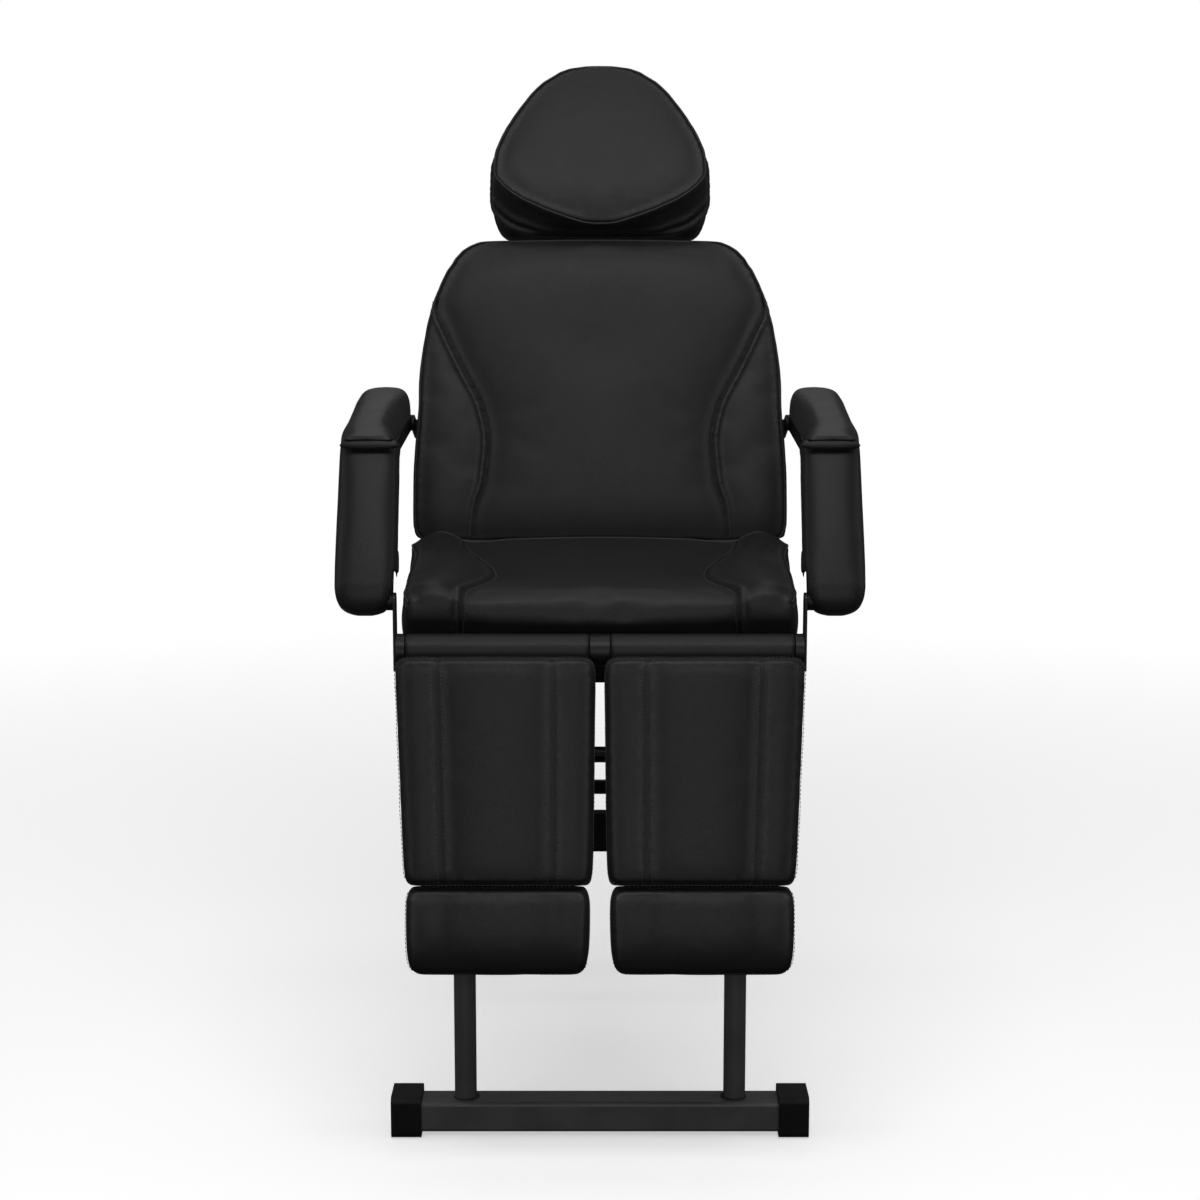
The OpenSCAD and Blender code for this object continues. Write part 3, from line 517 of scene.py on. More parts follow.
class Net:
    """Node tree of one material."""

    def __init__(self, name: str) -> None:
        """Starts an empty tree of that name.

        Args:
            name: the material's name.
        """
        self.material = bpy.data.materials.new(name)
        self.material.use_nodes = True
        self.tree = self.material.node_tree
        self.tree.nodes.clear()

    def node(self, kind: str, settings: dict | None = None,
             inputs: dict | None = None) -> bpy.types.Node:
        """New node.

        Args:
            kind: Blender's type name.
            settings: attributes that are set first.
            inputs: a value, or a Value or socket to link, for each socket.

        Returns:
            The node.
        """
        made = self.tree.nodes.new(kind)
        for key, setting in (settings or {}).items():
            setattr(made, key, setting)
        for key, given in (inputs or {}).items():
            source = given.socket if isinstance(given, Value) else given
            if isinstance(source, Socket):
                self.tree.links.new(source, made.inputs[key])
            else:
                made.inputs[key].default_value = source
        return made

    def value(self, kind: str, settings: dict | None = None, inputs: dict | None = None,
              out: int | str = 0) -> Value:
        """Output of a new node, as a Value."""
        return Value(self, self.node(kind, settings, inputs).outputs[out])

    def place(self, scale: tuple[float, float, float] = (1, 1, 1)) -> Socket:
        """Object coordinates, scaled."""
        where = self.node("ShaderNodeTexCoord").outputs["Object"]
        return self.node("ShaderNodeMapping", None, {"Vector": where, "Scale": scale}).outputs[0]

    def noise(self, where: Socket, size: float, detail: float = 3, rough: float = 0.5) -> Value:
        """Noise from 0 to 1 whose blobs are about that many millimetres wide.

        Args:
            where: coordinates in metres.
            size: width of a blob in millimetres.
            detail: number of finer layers.
            rough: how strong the finer layers are.

        Returns:
            The noise.
        """
        return self.value(
            "ShaderNodeTexNoise", None,
            {"Vector": where, "Scale": 1 / (size * MM), "Detail": detail, "Roughness": rough},
        )

    def cells(self, where: Socket, size: float, feature: str = "DISTANCE_TO_EDGE") -> Value:
        """Distance inside cells that are about that many millimetres wide."""
        return self.value("ShaderNodeTexVoronoi", {"feature": feature},
                          {"Vector": where, "Scale": 1 / (size * MM)}, out="Distance")

    def mix(self, amount: Value | float, first: tuple | Socket,
            second: tuple | Socket) -> Socket:
        """Colour between two colours.

        Args:
            amount: share of the second colour.
            first: colour at 0.
            second: colour at 1.

        Returns:
            The mixed colour.
        """
        first, second = (c + (1,) if isinstance(c, tuple) else c for c in (first, second))
        return self.node(
            "ShaderNodeMix", {"data_type": "RGBA"}, {0: amount, 6: first, 7: second}
        ).outputs[2]

    def bump(self, height: Value, depth: float) -> Socket:
        """Normal of a height that runs from 0 to 1 over that many millimetres."""
        made = self.node("ShaderNodeBump", None, {"Height": height, "Distance": depth * MM})
        return made.outputs[0]

    def finish(self, inputs: dict) -> Material:
        """Ends the tree in a Principled shader with those inputs.

        Args:
            inputs: values, or Values or sockets to link, by the shader's sockets.

        Returns:
            The material.
        """
        shader = self.node("ShaderNodeBsdfPrincipled", None, inputs)
        self.node("ShaderNodeOutputMaterial", None, {"Surface": shader.outputs[0]})
        return self.material


def shade(colour: tuple, by: float) -> tuple:
    """Colour multiplied by a number."""
    return tuple(c * by for c in colour)


# finishes


@dataclass(frozen=True)
class Vinyl:
    """Grained upholstery vinyl with a soft shine, painted shade in its seams and shadow bands, and
    ridges lightened by rubbed wear and a painted highlight.
    """

    name: str
    colour: tuple = (0.014, 0.014, 0.0146)
    grain: float = 1.5
    grain_depth: float = 0.12
    roughness: float = 0.4

    def material(self) -> Material:
        """Material of this vinyl.

        Returns:
            The material.
        """
        net = Net(self.name)
        where = net.place()
        pebbles = net.cells(where, self.grain).between(0.0, 0.28)
        fine = net.noise(where, 0.7, 2)
        broad = net.noise(where, 45, 4, 0.55)
        patch = net.noise(where, 9, 3)
        hollow = net.noise(where, 70, 2, 0.4)
        crease = net.value("ShaderNodeAttribute", {"attribute_name": "crease"}, out="Fac")
        ridge = net.value("ShaderNodeAttribute", {"attribute_name": "ridge"}, out="Fac")
        tone = net.mix(broad, shade(self.colour, 0.82), shade(self.colour, 1.2))
        tone = net.mix(pebbles * 0.35 + 0.65, shade(self.colour, 0.55), tone)
        # ridges lightened in patches: rubbed wear and a painted highlight
        tone = net.mix(ridge * patch.between(0.3, 0.7) * 0.5, tone, shade(self.colour, 2.1))
        # painted shade: the seams' grooves and the shadow bands darken the colour
        tone = net.mix(crease * 0.85, tone, shade(self.colour, 0.22))
        rough = (broad - 0.5) * 0.16 + (patch - 0.5) * 0.1 + crease * 0.45
        rough = rough - ridge * 0.08 + self.roughness
        height = pebbles * 0.75 + fine * 0.15 + patch * 0.3 + hollow * 9.0
        return net.finish({
            "Base Color": tone, "Roughness": rough, "Normal": net.bump(height, self.grain_depth),
            "Specular IOR Level": 0.2, "Coat Weight": 0.03, "Coat Roughness": 0.3,
            "Sheen Weight": 0.02, "Sheen Roughness": 0.5,
        })


@dataclass(frozen=True)
class PowderCoat:
    """Satin powder coat with its orange peel, dust near the floor and a few small rubs."""

    name: str
    colour: tuple = (0.03, 0.031, 0.033)
    roughness: float = 0.42
    gloss: float = 0.45

    def material(self) -> Material:
        """Material of this coat.

        Returns:
            The material.
        """
        net = Net(self.name)
        where = net.place()
        peel = net.noise(where, 1.6, 2)
        broad = net.noise(where, 70, 3)
        fleck = net.noise(where, 5, 4, 0.7)
        height = net.value("ShaderNodeSeparateXYZ", None,
                           {0: net.node("ShaderNodeTexCoord").outputs["Object"]}, out="Z")
        low = 1 - height.between(0.02, 0.35)
        rubs = net.noise(net.place((0.3, 0.3, 1)), 6, 5, 0.75).between(0.66, 0.74)
        rubs = rubs * (low * 0.8 + 0.12)
        dust = low * broad.between(0.35, 0.75) * 0.35
        tone = net.mix(broad, shade(self.colour, 0.86), shade(self.colour, 1.16))
        tone = net.mix(dust, tone, (0.11, 0.105, 0.1))
        tone = net.mix(rubs * 0.5, tone, (0.16, 0.16, 0.165))
        rough = (fleck - 0.5) * 0.14 + (broad - 0.5) * 0.1 + dust * 0.4 + self.roughness
        return net.finish({
            "Base Color": tone, "Roughness": rough, "Normal": net.bump(peel, 0.05),
            "Specular IOR Level": self.gloss, "Coat Weight": 0.04, "Coat Roughness": 0.25,
        })


@dataclass(frozen=True)
class Moulded:
    """Moulded plastic or rubber with a spark-eroded skin and scuffs."""

    name: str
    colour: tuple = (0.004, 0.004, 0.0043)
    roughness: float = 0.5
    skin: float = 0.9
    depth: float = 0.06

    def material(self) -> Material:
        """Material of this moulding.

        Returns:
            The material.
        """
        net = Net(self.name)
        where = net.place()
        skin = net.cells(where, self.skin, "F1")
        scuff = net.noise(net.place((1, 0.25, 1)), 4, 5, 0.8).between(0.62, 0.75)
        broad = net.noise(where, 30, 3)
        tone = net.mix(broad, shade(self.colour, 0.8), shade(self.colour, 1.3))
        tone = net.mix(scuff * 0.3, tone, shade(self.colour, 4))
        rough = (broad - 0.5) * 0.15 + scuff * 0.12 + self.roughness
        return net.finish({"Base Color": tone, "Roughness": rough, "Specular IOR Level": 0.2,
                           "Normal": net.bump(skin, self.depth)})


@dataclass(frozen=True)
class Plywood:
    """Birch plywood: long grain, fine pores and darker glue lines through the thickness."""

    name: str
    light: tuple = (0.5, 0.36, 0.21)
    dark: tuple = (0.3, 0.19, 0.1)

    def material(self) -> Material:
        """Material of this plywood.

        Returns:
            The material.
        """
        net = Net(self.name)
        grain = net.noise(net.place((0.05, 1, 1)), 4, 5, 0.6)
        pores = net.noise(net.place((0.03, 1, 1)), 0.8, 2).between(0.55, 0.75)
        layers = net.value(
            "ShaderNodeTexWave", {"wave_type": "BANDS", "bands_direction": "Y"},
            {"Vector": net.place(), "Scale": 105.0, "Distortion": 0.4, "Detail": 1.0},
        )
        tone = net.mix(grain, self.dark, self.light)
        tone = net.mix(layers.between(0.55, 0.95) * 0.4, tone, self.dark)
        tone = net.mix(pores * 0.35, tone, shade(self.dark, 0.5))
        return net.finish({"Base Color": tone, "Roughness": 0.5 + grain * 0.25,
                           "Normal": net.bump(grain * 0.6 + pores * 0.4, 0.12)})


@dataclass(frozen=True)
class BareSteel:
    """Plated or polished steel with a drawn grain and handling marks."""

    name: str
    colour: tuple = (0.56, 0.57, 0.58)
    roughness: float = 0.32
    grain: float = 0.08

    def material(self) -> Material:
        """Material of this steel.

        Returns:
            The material.
        """
        net = Net(self.name)
        drawn = net.noise(net.place((1, 1, 0.03)), 0.6, 3)
        cloud = net.noise(net.place(), 14, 4, 0.6)
        tone = net.mix(cloud, shade(self.colour, 0.82), shade(self.colour, 1.08))
        rough = drawn * 0.12 + (cloud - 0.5) * 0.16 + self.roughness
        return net.finish({"Base Color": tone, "Metallic": 1.0, "Roughness": rough,
                           "Normal": net.bump(drawn, self.grain * 0.4)})


@dataclass(frozen=True)
class Thread:
    """Bonded sewing thread, a little lighter than the vinyl round it."""

    name: str
    colour: tuple = (0.034, 0.034, 0.036)

    def material(self) -> Material:
        """Material of this thread.

        Returns:
            The material.
        """
        net = Net(self.name)
        twist = net.value(
            "ShaderNodeTexWave", {"wave_type": "BANDS", "bands_direction": "DIAGONAL"},
            {"Vector": net.place(), "Scale": 900.0, "Distortion": 1.0},
        )
        tone = net.mix(twist, shade(self.colour, 0.6), shade(self.colour, 1.3))
        return net.finish({"Base Color": tone, "Roughness": 0.45 + twist * 0.2,
                           "Normal": net.bump(twist, 0.08), "Sheen Weight": 0.1})


@dataclass(frozen=True)
class Pale:
    """Pale studio floor whose glow grows outwards, so that it meets a white room.

    It grows from glow to far_glow between near and far, which are metres from the middle.
    """

    name: str
    colour: tuple = (0.9, 0.9, 0.9)
    glow: float = 0.5
    far_glow: float = 0.96
    near: float = 1.0
    far: float = 5.5

    def material(self) -> Material:
        """Material of the floor.

        Returns:
            The material.
        """
        net = Net(self.name)
        where = net.node("ShaderNodeTexCoord").outputs["Object"]
        far = net.value("ShaderNodeVectorMath", {"operation": "LENGTH"}, {0: where}, out="Value")
        cloud = net.noise(where, 900, 2)
        tone = net.mix(cloud, shade(self.colour, 0.99), self.colour)
        lit = net.mix(far.between(self.near, self.far), (self.glow,) * 3, (self.far_glow,) * 3)
        return net.finish({"Base Color": tone, "Roughness": 0.7, "Specular IOR Level": 0.1,
                           "Emission Color": lit, "Emission Strength": 1.0})


class Finishes:
    """Every material of the chair, made once."""

    def __init__(self) -> None:
        """Builds the materials by slot and by use."""
        looks = {
            "black_vinyl": Vinyl("black_vinyl"),
            "grey_paint": PowderCoat("grey_powder_coat", (0.06, 0.061, 0.064)),
            "black_paint": PowderCoat("black_powder_coat", (0.006, 0.006, 0.0065), 0.42, 0.22),
            "black_plastic": Moulded("black_moulding"),
            "black_rubber": Moulded("black_rubber", (0.013, 0.013, 0.013), 0.72, 1.3, 0.1),
            "plywood": Plywood("birch_plywood"),
            "zinc_steel": BareSteel("zinc_steel"),
            "polished_rod": BareSteel("chromed_rod", (0.78, 0.79, 0.8), 0.1, 0.02),
        }
        self.slots = {slot: look.material() for slot, look in looks.items()}
        self.thread = Thread("bonded_thread").material()
        self.piping = Vinyl("piping_vinyl", (0.017, 0.017, 0.0176), 1.1, 0.06, 0.34).material()
        self.staple = BareSteel("staple_wire", (0.5, 0.5, 0.52), 0.3).material()

    def dress_nodes(self, frame: dict) -> None:
        """Gives each carried-over node the material of its slot.
        """
        for part in frame["record"]["subparts"]:
            node = frame["nodes"].get(part["node"])
            if node is None:
                continue
            if not node.material_slots:
                node.data.materials.append(None)
            for place in node.material_slots:
                place.material = self.slots[part["material_slot"]]

    def fit(self, piece: Object, body: str, slot: str, material: Material | None = None) -> None:
        """Gives a new piece its body and its slot's material, or another one.

        Args:
            piece: the new piece.
            body: the body that it rides on.
            slot: the slot whose material it gets.
            material: another material than the slot has.
        """
        piece.data.materials.clear()
        piece.data.materials.append(material or self.slots[slot])
        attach(piece, body)
        log.info("%s rides on %s, %d faces", piece.name, body, len(piece.data.polygons))


# sewn work

# how firmly a seam holds, and how far the hold of a seam and of the board reaches
SEAM_HOLD, SEAM_REACH, BOARD_REACH = 0.85, 9.0, 5.0
# puff, pucker, ridge and the groove's painted shade in shares of the seam's width, and the pucker's
# pitch
PUFF_AT, PUFF_WIDTH = 2.6, 1.6
PUCKER_AT, PUCKER_WIDTH, PUCKER_PITCH = 2.2, 2.6, 13.0
RIDGE_AT, RIDGE_WIDTH, GROOVE_SHADE_WIDTH = 2.4, 1.4, 0.6
# roll beside a seam, and the length over which it fades at both ends
ROLL_AT, ROLL_WIDTH, ROLL_FADE = 6.5, 5.0, 70.0
# across a rolled seam: how fast the outer side begins, and the soft shade on the inner side
SIDE_FADE, INNER_DARK, INNER_WIDTH = 3.0, 0.45, 9.0
# half length as a share of the pitch, lift of a stitch's middle and dip of its ends
STITCH_PITCH, STITCH_RADIUS, STITCH_HALF = 5.4, 0.55, 0.4
STITCH_LIFT, STITCH_DIP = 0.25, 0.7
# piping's rise as a share of its radius, and its sink as a share of the seam's depth
CORD_RISE, CORD_SINK = 0.45, 0.4
# step of a settled seam, reach of its relief, and how many points are measured at once
SKIN_STEP, NEAR, BLOCK = 3.0, 30.0, 6000
# frames of the swelling, and steps of the held weight
FRAMES, HOLD_STEPS = 20, 8


@dataclass
class Seam:
    """One sewn line on a cushion.

    The vinyl dips by depth at the line, stands up by puff beside it and puckers along it. roll
    lifts the side away from the chair's middle, dark is how dark the painted shade in its groove
    is, and rows are the stitch rows, as sideways offsets. A line with a shadow isn't sewn: it only
    paints a wide band of shade.
    """

    path: Array
    closed: bool = False
    depth: float = 2.6
    width: float = 2.8
    puff: float = 0.7
    pucker: float = 0.3
    rows: tuple[float, ...] = ()
    piping: float = 0.0
    seed: int = 1
    roll: float = 0.0
    dark: float = 0.9
    shadow: float = 0.0
    shadow_width: float = 30.0

    def settle(self, tree: BVHTree) -> tuple[Array, Array]:
        """Path and normals on the finished skin, at even steps.

        Args:
            tree: the skin's search tree, in metres.

        Returns:
            Points in millimetres and unit normals, both (n, 3).
        """
        wanted = resample(self.path, SKIN_STEP, self.closed)
        found = [tree.find_nearest(Vector(p)) for p in wanted * MM]
        points = np.array([f[0][:] for f in found]) / MM
        normals = np.array([f[1][:] for f in found])
        return soften(points, 3, self.closed), unit(soften(normals, 6, self.closed))

    def relief(self, points: Array, path: Array) -> tuple[Array, Array, Array]:
        """What the seam does to the skin round it.

        The shift is a dip at the line, a puff and a puckered band beside it, and the roll further
        out, each a bell of the distance to the line.

        Args:
            points: points of the skin near the line, (n, 3).
            path: the settled line, (m, 3).

        Returns:
            How far each point moves out, how dark its painted shade is, and how much its ridge is
            lightened by rubbed wear and a painted highlight.
        """
        gap, along = nearest_on_path(points, path, self.closed)
        wide, wave = self.width, ripple(along, PUCKER_PITCH, self.seed)
        outer = np.ones(len(points))
        if self.roll:
            share = np.linspace(0, along.max(), len(path))
            beside = np.interp(along, share, np.abs(path[:, 0]))
            outer = np.clip((np.abs(points[:, 0]) - beside) / SIDE_FADE, 0, 1)
        shift = -self.depth * bell(gap, wide)
        shift += self.puff * outer * bell(gap - PUFF_AT * wide, PUFF_WIDTH * wide)
        shift += self.pucker * outer * wave * bell(gap - PUCKER_AT * wide, PUCKER_WIDTH * wide)
        # painted shade in the seam's groove
        crease = self.dark * bell(gap, GROOVE_SHADE_WIDTH * wide)
        if self.roll:
            inside = np.clip(np.minimum(along, along.max() - along) / ROLL_FADE, 0, 1)
            shift += self.roll * outer * inside * bell(gap - ROLL_AT, ROLL_WIDTH)
            # painted soft shade on the inner side of a rolled seam
            crease = np.maximum(crease, INNER_DARK * (1 - outer) * bell(gap, INNER_WIDTH))
        # ridge beside the seam, lightened in the colour: rubbed wear and a painted highlight
        ridge = outer * bell(gap - RIDGE_AT * wide, RIDGE_WIDTH * wide)
        return shift, crease, ridge


def nearest_on_path(points: Array, path: Array, closed: bool) -> tuple[Array, Array]:
    """Distance from each point to a path, and how far along the path that is.

    The distance to a segment a-b is |p - a - clip((p - a).(b - a) / |b - a|^2, 0, 1) (b - a)|.

    Args:
        points: (n, 3).
        path: (m, 3).
        closed: whether the last point joins the first.

    Returns:
        Distances and lengths along the path, both (n,).
    """
    ends = np.roll(path, -1, axis=0) if closed else path[1:]
    starts = path if closed else path[:-1]
    ray = ends - starts
    size = np.maximum((ray**2).sum(1), 1e-9)
    run = np.concatenate([[0], np.cumsum(np.sqrt(size))])[:-1]
    best = np.full(len(points), np.inf)
    along = np.zeros(len(points))
    for low in range(0, len(points), BLOCK):
        block = points[low:low + BLOCK]
        offset = block[:, None] - starts[None]
        share = np.clip((offset * ray).sum(2) / size, 0, 1)
        gap = ((offset - share[..., None] * ray) ** 2).sum(2)
        which = gap.argmin(1)
        row = np.arange(len(block))
        best[low:low + BLOCK] = np.sqrt(gap[row, which])
        along[low:low + BLOCK] = run[which] + share[row, which] * np.sqrt(size[which])
    return best, along


def stitches(name: str, path: Array, normals: Array, offset: float, closed: bool = False) -> Object:
    """Row of stitches beside a path: short lozenges that dip into the skin at both ends.

    Each is a grid of stations by sides: centre + t x + n (lift + r cos a) + b r sin a.

    Args:
        name: the row's name.
        path: points on the skin, (n, 3).
        normals: unit normals of the skin, (n, 3).
        offset: sideways distance of the row from the path.
        closed: whether the last point joins the first.

    Returns:
        The row.
    """
    stations, sides = 5, 6
    across = unit(np.cross(tangents(path, closed), normals))
    lined = np.hstack([path + across * offset, normals])
    rows = resample(lined, STITCH_PITCH, closed, middles=True)
    centre, up = rows[:, :3], unit(rows[:, 3:])
    t = tangents(centre, closed)
    b = np.cross(t, up)
    station = np.linspace(-1, 1, stations)
    radius = STITCH_RADIUS * np.sqrt(np.clip(1 - 0.9 * station**2, 0.05, 1))
    angle = np.linspace(0, 2 * math.pi, sides, endpoint=False)
    x = np.broadcast_to((station * STITCH_PITCH * STITCH_HALF)[:, None], (stations, sides))
    y = radius[:, None] * np.cos(angle) + (STITCH_LIFT - STITCH_DIP * station**2)[:, None]
    z = radius[:, None] * np.sin(angle)
    points = centre[:, None, None] + sum(
        way[:, None, None] * run[None, ..., None] for way, run in ((t, x), (up, y), (b, z)))
    one = grid_faces(stations, sides, False)
    first = np.arange(len(centre))[:, None, None] * stations * sides
    faces = (one[None] + first).reshape(-1, 4).tolist()
    near_cap = np.arange(sides)[None] + first[:, 0]
    faces += near_cap[:, ::-1].tolist() + (near_cap + (stations - 1) * sides).tolist()
    made = make_object(name, points.reshape(-1, 3), faces)
    outward(made)
    return made


@dataclass
class Cushion:
    """A padded piece from its plain form to its sewn finish.

    It is drawn in by inset and swelled by pressure, with a share of spare cloth, and no point moves
    farther than cap. relax and calm are how often its grid and its movement are averaged, held is
    how firmly each point is held, and back is a point of the board and the way out of it.
    """

    name: str
    body: str
    node: str
    piece: Object
    voxel: float = 6.0
    inset: float = 4.0
    cap: float = 9.0
    pressure: float = 4.0
    spare: float = 0.003
    relax: int = 4
    calm: int = 10
    fill: float = 0.7
    held: Array | None = None
    back: tuple[Array, Array] | None = None
    seams: list[Seam] = field(default_factory=list)

    def remesh(self) -> None:
        """Even quads all over, relaxed and drawn in by the inset."""
        grid = self.piece.modifiers.new("even", "REMESH")
        grid.mode = "VOXEL"
        grid.voxel_size = self.voxel * MM
        grid.use_smooth_shade = True
        ease = self.piece.modifiers.new("ease", "SMOOTH")
        ease.factor, ease.iterations = 0.5, self.relax
        apply_modifiers(self.piece)
        points, normals = read_points(self.piece.data)
        hold = self.hold(points)
        write_points(self.piece.data, points - normals * (self.inset * (1 - hold))[:, None])
        self.held = hold

    def hold(self, points: Array) -> Array:
        """How firmly each point is held, from 0 to 1: on the board plane, and at the seams.

        Args:
            points: (n, 3).

        Returns:
            Shares, (n,).
        """
        hold = np.zeros(len(points))
        if self.back is not None:
            origin, out = self.back
            hold = bell(np.maximum((points - origin) @ out, 0), BOARD_REACH)
        for seam in self.seams:
            if not seam.shadow:
                gap, _ = nearest_on_path(points, seam.path, seam.closed)
                hold = np.maximum(hold, SEAM_HOLD * bell(gap, SEAM_REACH))
        return hold

    def start_swell(self) -> None:
        """Cloth with inner pressure, pinned where it is held."""
        group = self.piece.vertex_groups.new(name="held")
        level = np.round(self.held * HOLD_STEPS).astype(int)
        for step in range(1, HOLD_STEPS + 1):
            group.add(np.flatnonzero(level == step).tolist(), step / HOLD_STEPS, "REPLACE")
        cloth = self.piece.modifiers.new("swell", "CLOTH")
        settings = {
            "tension_stiffness": 20, "compression_stiffness": 12, "shear_stiffness": 5,
            "bending_stiffness": 6, "quality": 4, "mass": 0.25, "use_pressure": True,
            "uniform_pressure_force": self.pressure, "shrink_min": -self.spare,
            "vertex_group_mass": "held",
        }
        for name, value in settings.items():
            setattr(cloth.settings, name, value)
        cloth.settings.effector_weights.gravity = 0
        cloth.collision_settings.use_collision = False
        cloth.point_cache.frame_start, cloth.point_cache.frame_end = 1, FRAMES

    def end_swell(self) -> None:
        """Reads the swollen form, with no point moved beyond the cap: cap tanh(d / cap)."""
        rest, _ = read_points(self.piece.data)
        graph = bpy.context.evaluated_depsgraph_get()
        swollen = self.piece.evaluated_get(graph).to_mesh()
        points, _ = read_points(swollen)
        self.piece.modifiers.clear()
        self.piece.vertex_groups.clear()
        move = self.calmed(points - rest)
        size = np.maximum(np.linalg.norm(move, axis=1, keepdims=True), 1e-9)
        write_points(self.piece.data, rest + move / size * self.cap * np.tanh(size / self.cap))

    def calmed(self, move: Array) -> Array:
        """Movement without its small wrinkles: each point's is averaged with its neighbours'.

        Each turn takes (m + mean of the neighbours' m) / 2, and held points keep their own.

        Args:
            move: movement of each point, (n, 3).

        Returns:
            Calmer movement, (n, 3).
        """
        edges = np.empty(len(self.piece.data.edges) * 2, dtype=np.int32)
        self.piece.data.edges.foreach_get("vertices", edges)
        a, b = edges.reshape(-1, 2).T
        ends, others = np.concatenate([a, b]), np.concatenate([b, a])
        count = np.maximum(np.bincount(ends, minlength=len(move)), 1)
        calm = move
        for _ in range(self.calm):
            total = [np.bincount(ends, calm[others, k], len(move)) for k in range(3)]
            calm = (calm + np.stack(total, axis=1) / count[:, None]) / 2
        return lerp(calm, move, self.held[:, None])

    def sew(self, finishes: Finishes) -> None:
        """Subdivides, sinks the seams, marks the painted shade of grooves and shadow bands and the
        ridges lightened by rubbed wear and a painted highlight, and adds piping and stitches.

        Args:
            finishes: the materials.
        """
        fine = self.piece.modifiers.new("fine", "SUBSURF")
        fine.levels = fine.render_levels = 1
        apply_modifiers(self.piece)
        mesh = self.piece.data
        points, normals = read_points(mesh)
        move, crease, ridge = (np.zeros(len(points)) for _ in range(3))
        tree = BVHTree.FromObject(self.piece, bpy.context.evaluated_depsgraph_get())
        lines = [seam.settle(tree) for seam in self.seams]
        for seam, (path, _) in zip(self.seams, lines):
            # a painted shadow band: shade in the colour, not sewn
            if seam.shadow:
                gap, _ = nearest_on_path(points, path, seam.closed)
                crease = np.maximum(crease, seam.shadow * bell(gap, seam.shadow_width))
                continue
            low, high = path.min(0) - NEAR, path.max(0) + NEAR
            near = np.flatnonzero(((points > low) & (points < high)).all(1))
            shift, dark, raised = seam.relief(points[near], path)
            move[near] += shift
            crease[near] = np.maximum(crease[near], dark)
            ridge[near] = np.maximum(ridge[near], raised)
        write_points(mesh, points + normals * move[:, None])
        # painted shade, and ridges lightened by rubbed wear and a painted highlight, for the
        # vinyl's colour
        for name, marks in (("crease", crease), ("ridge", ridge * (1 - crease))):
            attribute = mesh.attributes.new(name, "FLOAT", "POINT")
            attribute.data.foreach_set("value", marks.astype(np.float32))
        mesh.polygons.foreach_set("use_smooth", np.full(len(mesh.polygons), True))
        finishes.fit(self.piece, self.body, "black_vinyl")
        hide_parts(self.node)
        self.trim(lines, finishes)

    def trim(self, lines: list[tuple[Array, Array]], finishes: Finishes) -> None:
        """Piping and stitch rows of the seams.

        Args:
            lines: settled path and normals of each seam.
            finishes: the materials.
        """
        cords, rows = [], []
        for number, (seam, (path, normals)) in enumerate(zip(self.seams, lines)):
            if seam.piping:
                sunk = path + normals * (CORD_RISE * seam.piping - CORD_SINK * seam.depth)
                cords.append(tube(f"{self.name}_cord_{number}", sunk, normals, seam.piping,
                                  closed=seam.closed))
            for offset in seam.rows:
                gap = abs(offset)
                drop = seam.depth * bell(gap, seam.width) - seam.puff * bell(
                    gap - PUFF_AT * seam.width, PUFF_WIDTH * seam.width)
                rows.append(stitches(f"{self.name}_row_{number}", path - normals * drop, normals,
                                     offset, closed=seam.closed))
        if cords:
            cord = joined(f"{self.name}_piping", cords)
            finishes.fit(cord, self.body, "black_vinyl", finishes.piping)
        if rows:
            thread = joined(f"{self.name}_stitches", rows)
            finishes.fit(thread, self.body, "black_vinyl", finishes.thread)


def swell_all(cushions: Sequence[Cushion]) -> None:
    """Args:
        cushions: every cushion of the chair.
    """
    for cushion in cushions:
        cushion.remesh()
    for cushion in cushions:
        cushion.start_swell()
    scene = bpy.context.scene
    for number in range(1, FRAMES + 1):
        scene.frame_set(number)
    for cushion in cushions:
        cushion.end_swell()
    scene.frame_set(1)
    log.info("swelled %d cushions", len(cushions))


# cushion forms


@dataclass(frozen=True)
class Style:
    """Section of a boxed cushion.

    edge and seam are heights over the board, crown and side_crown are what the middle and the side
    panels rise above them, and bow is how far the side band bows out.
    """

    edge: float
    seam: float
    crown: float
    side_crown: float
    bow: float = 6.0


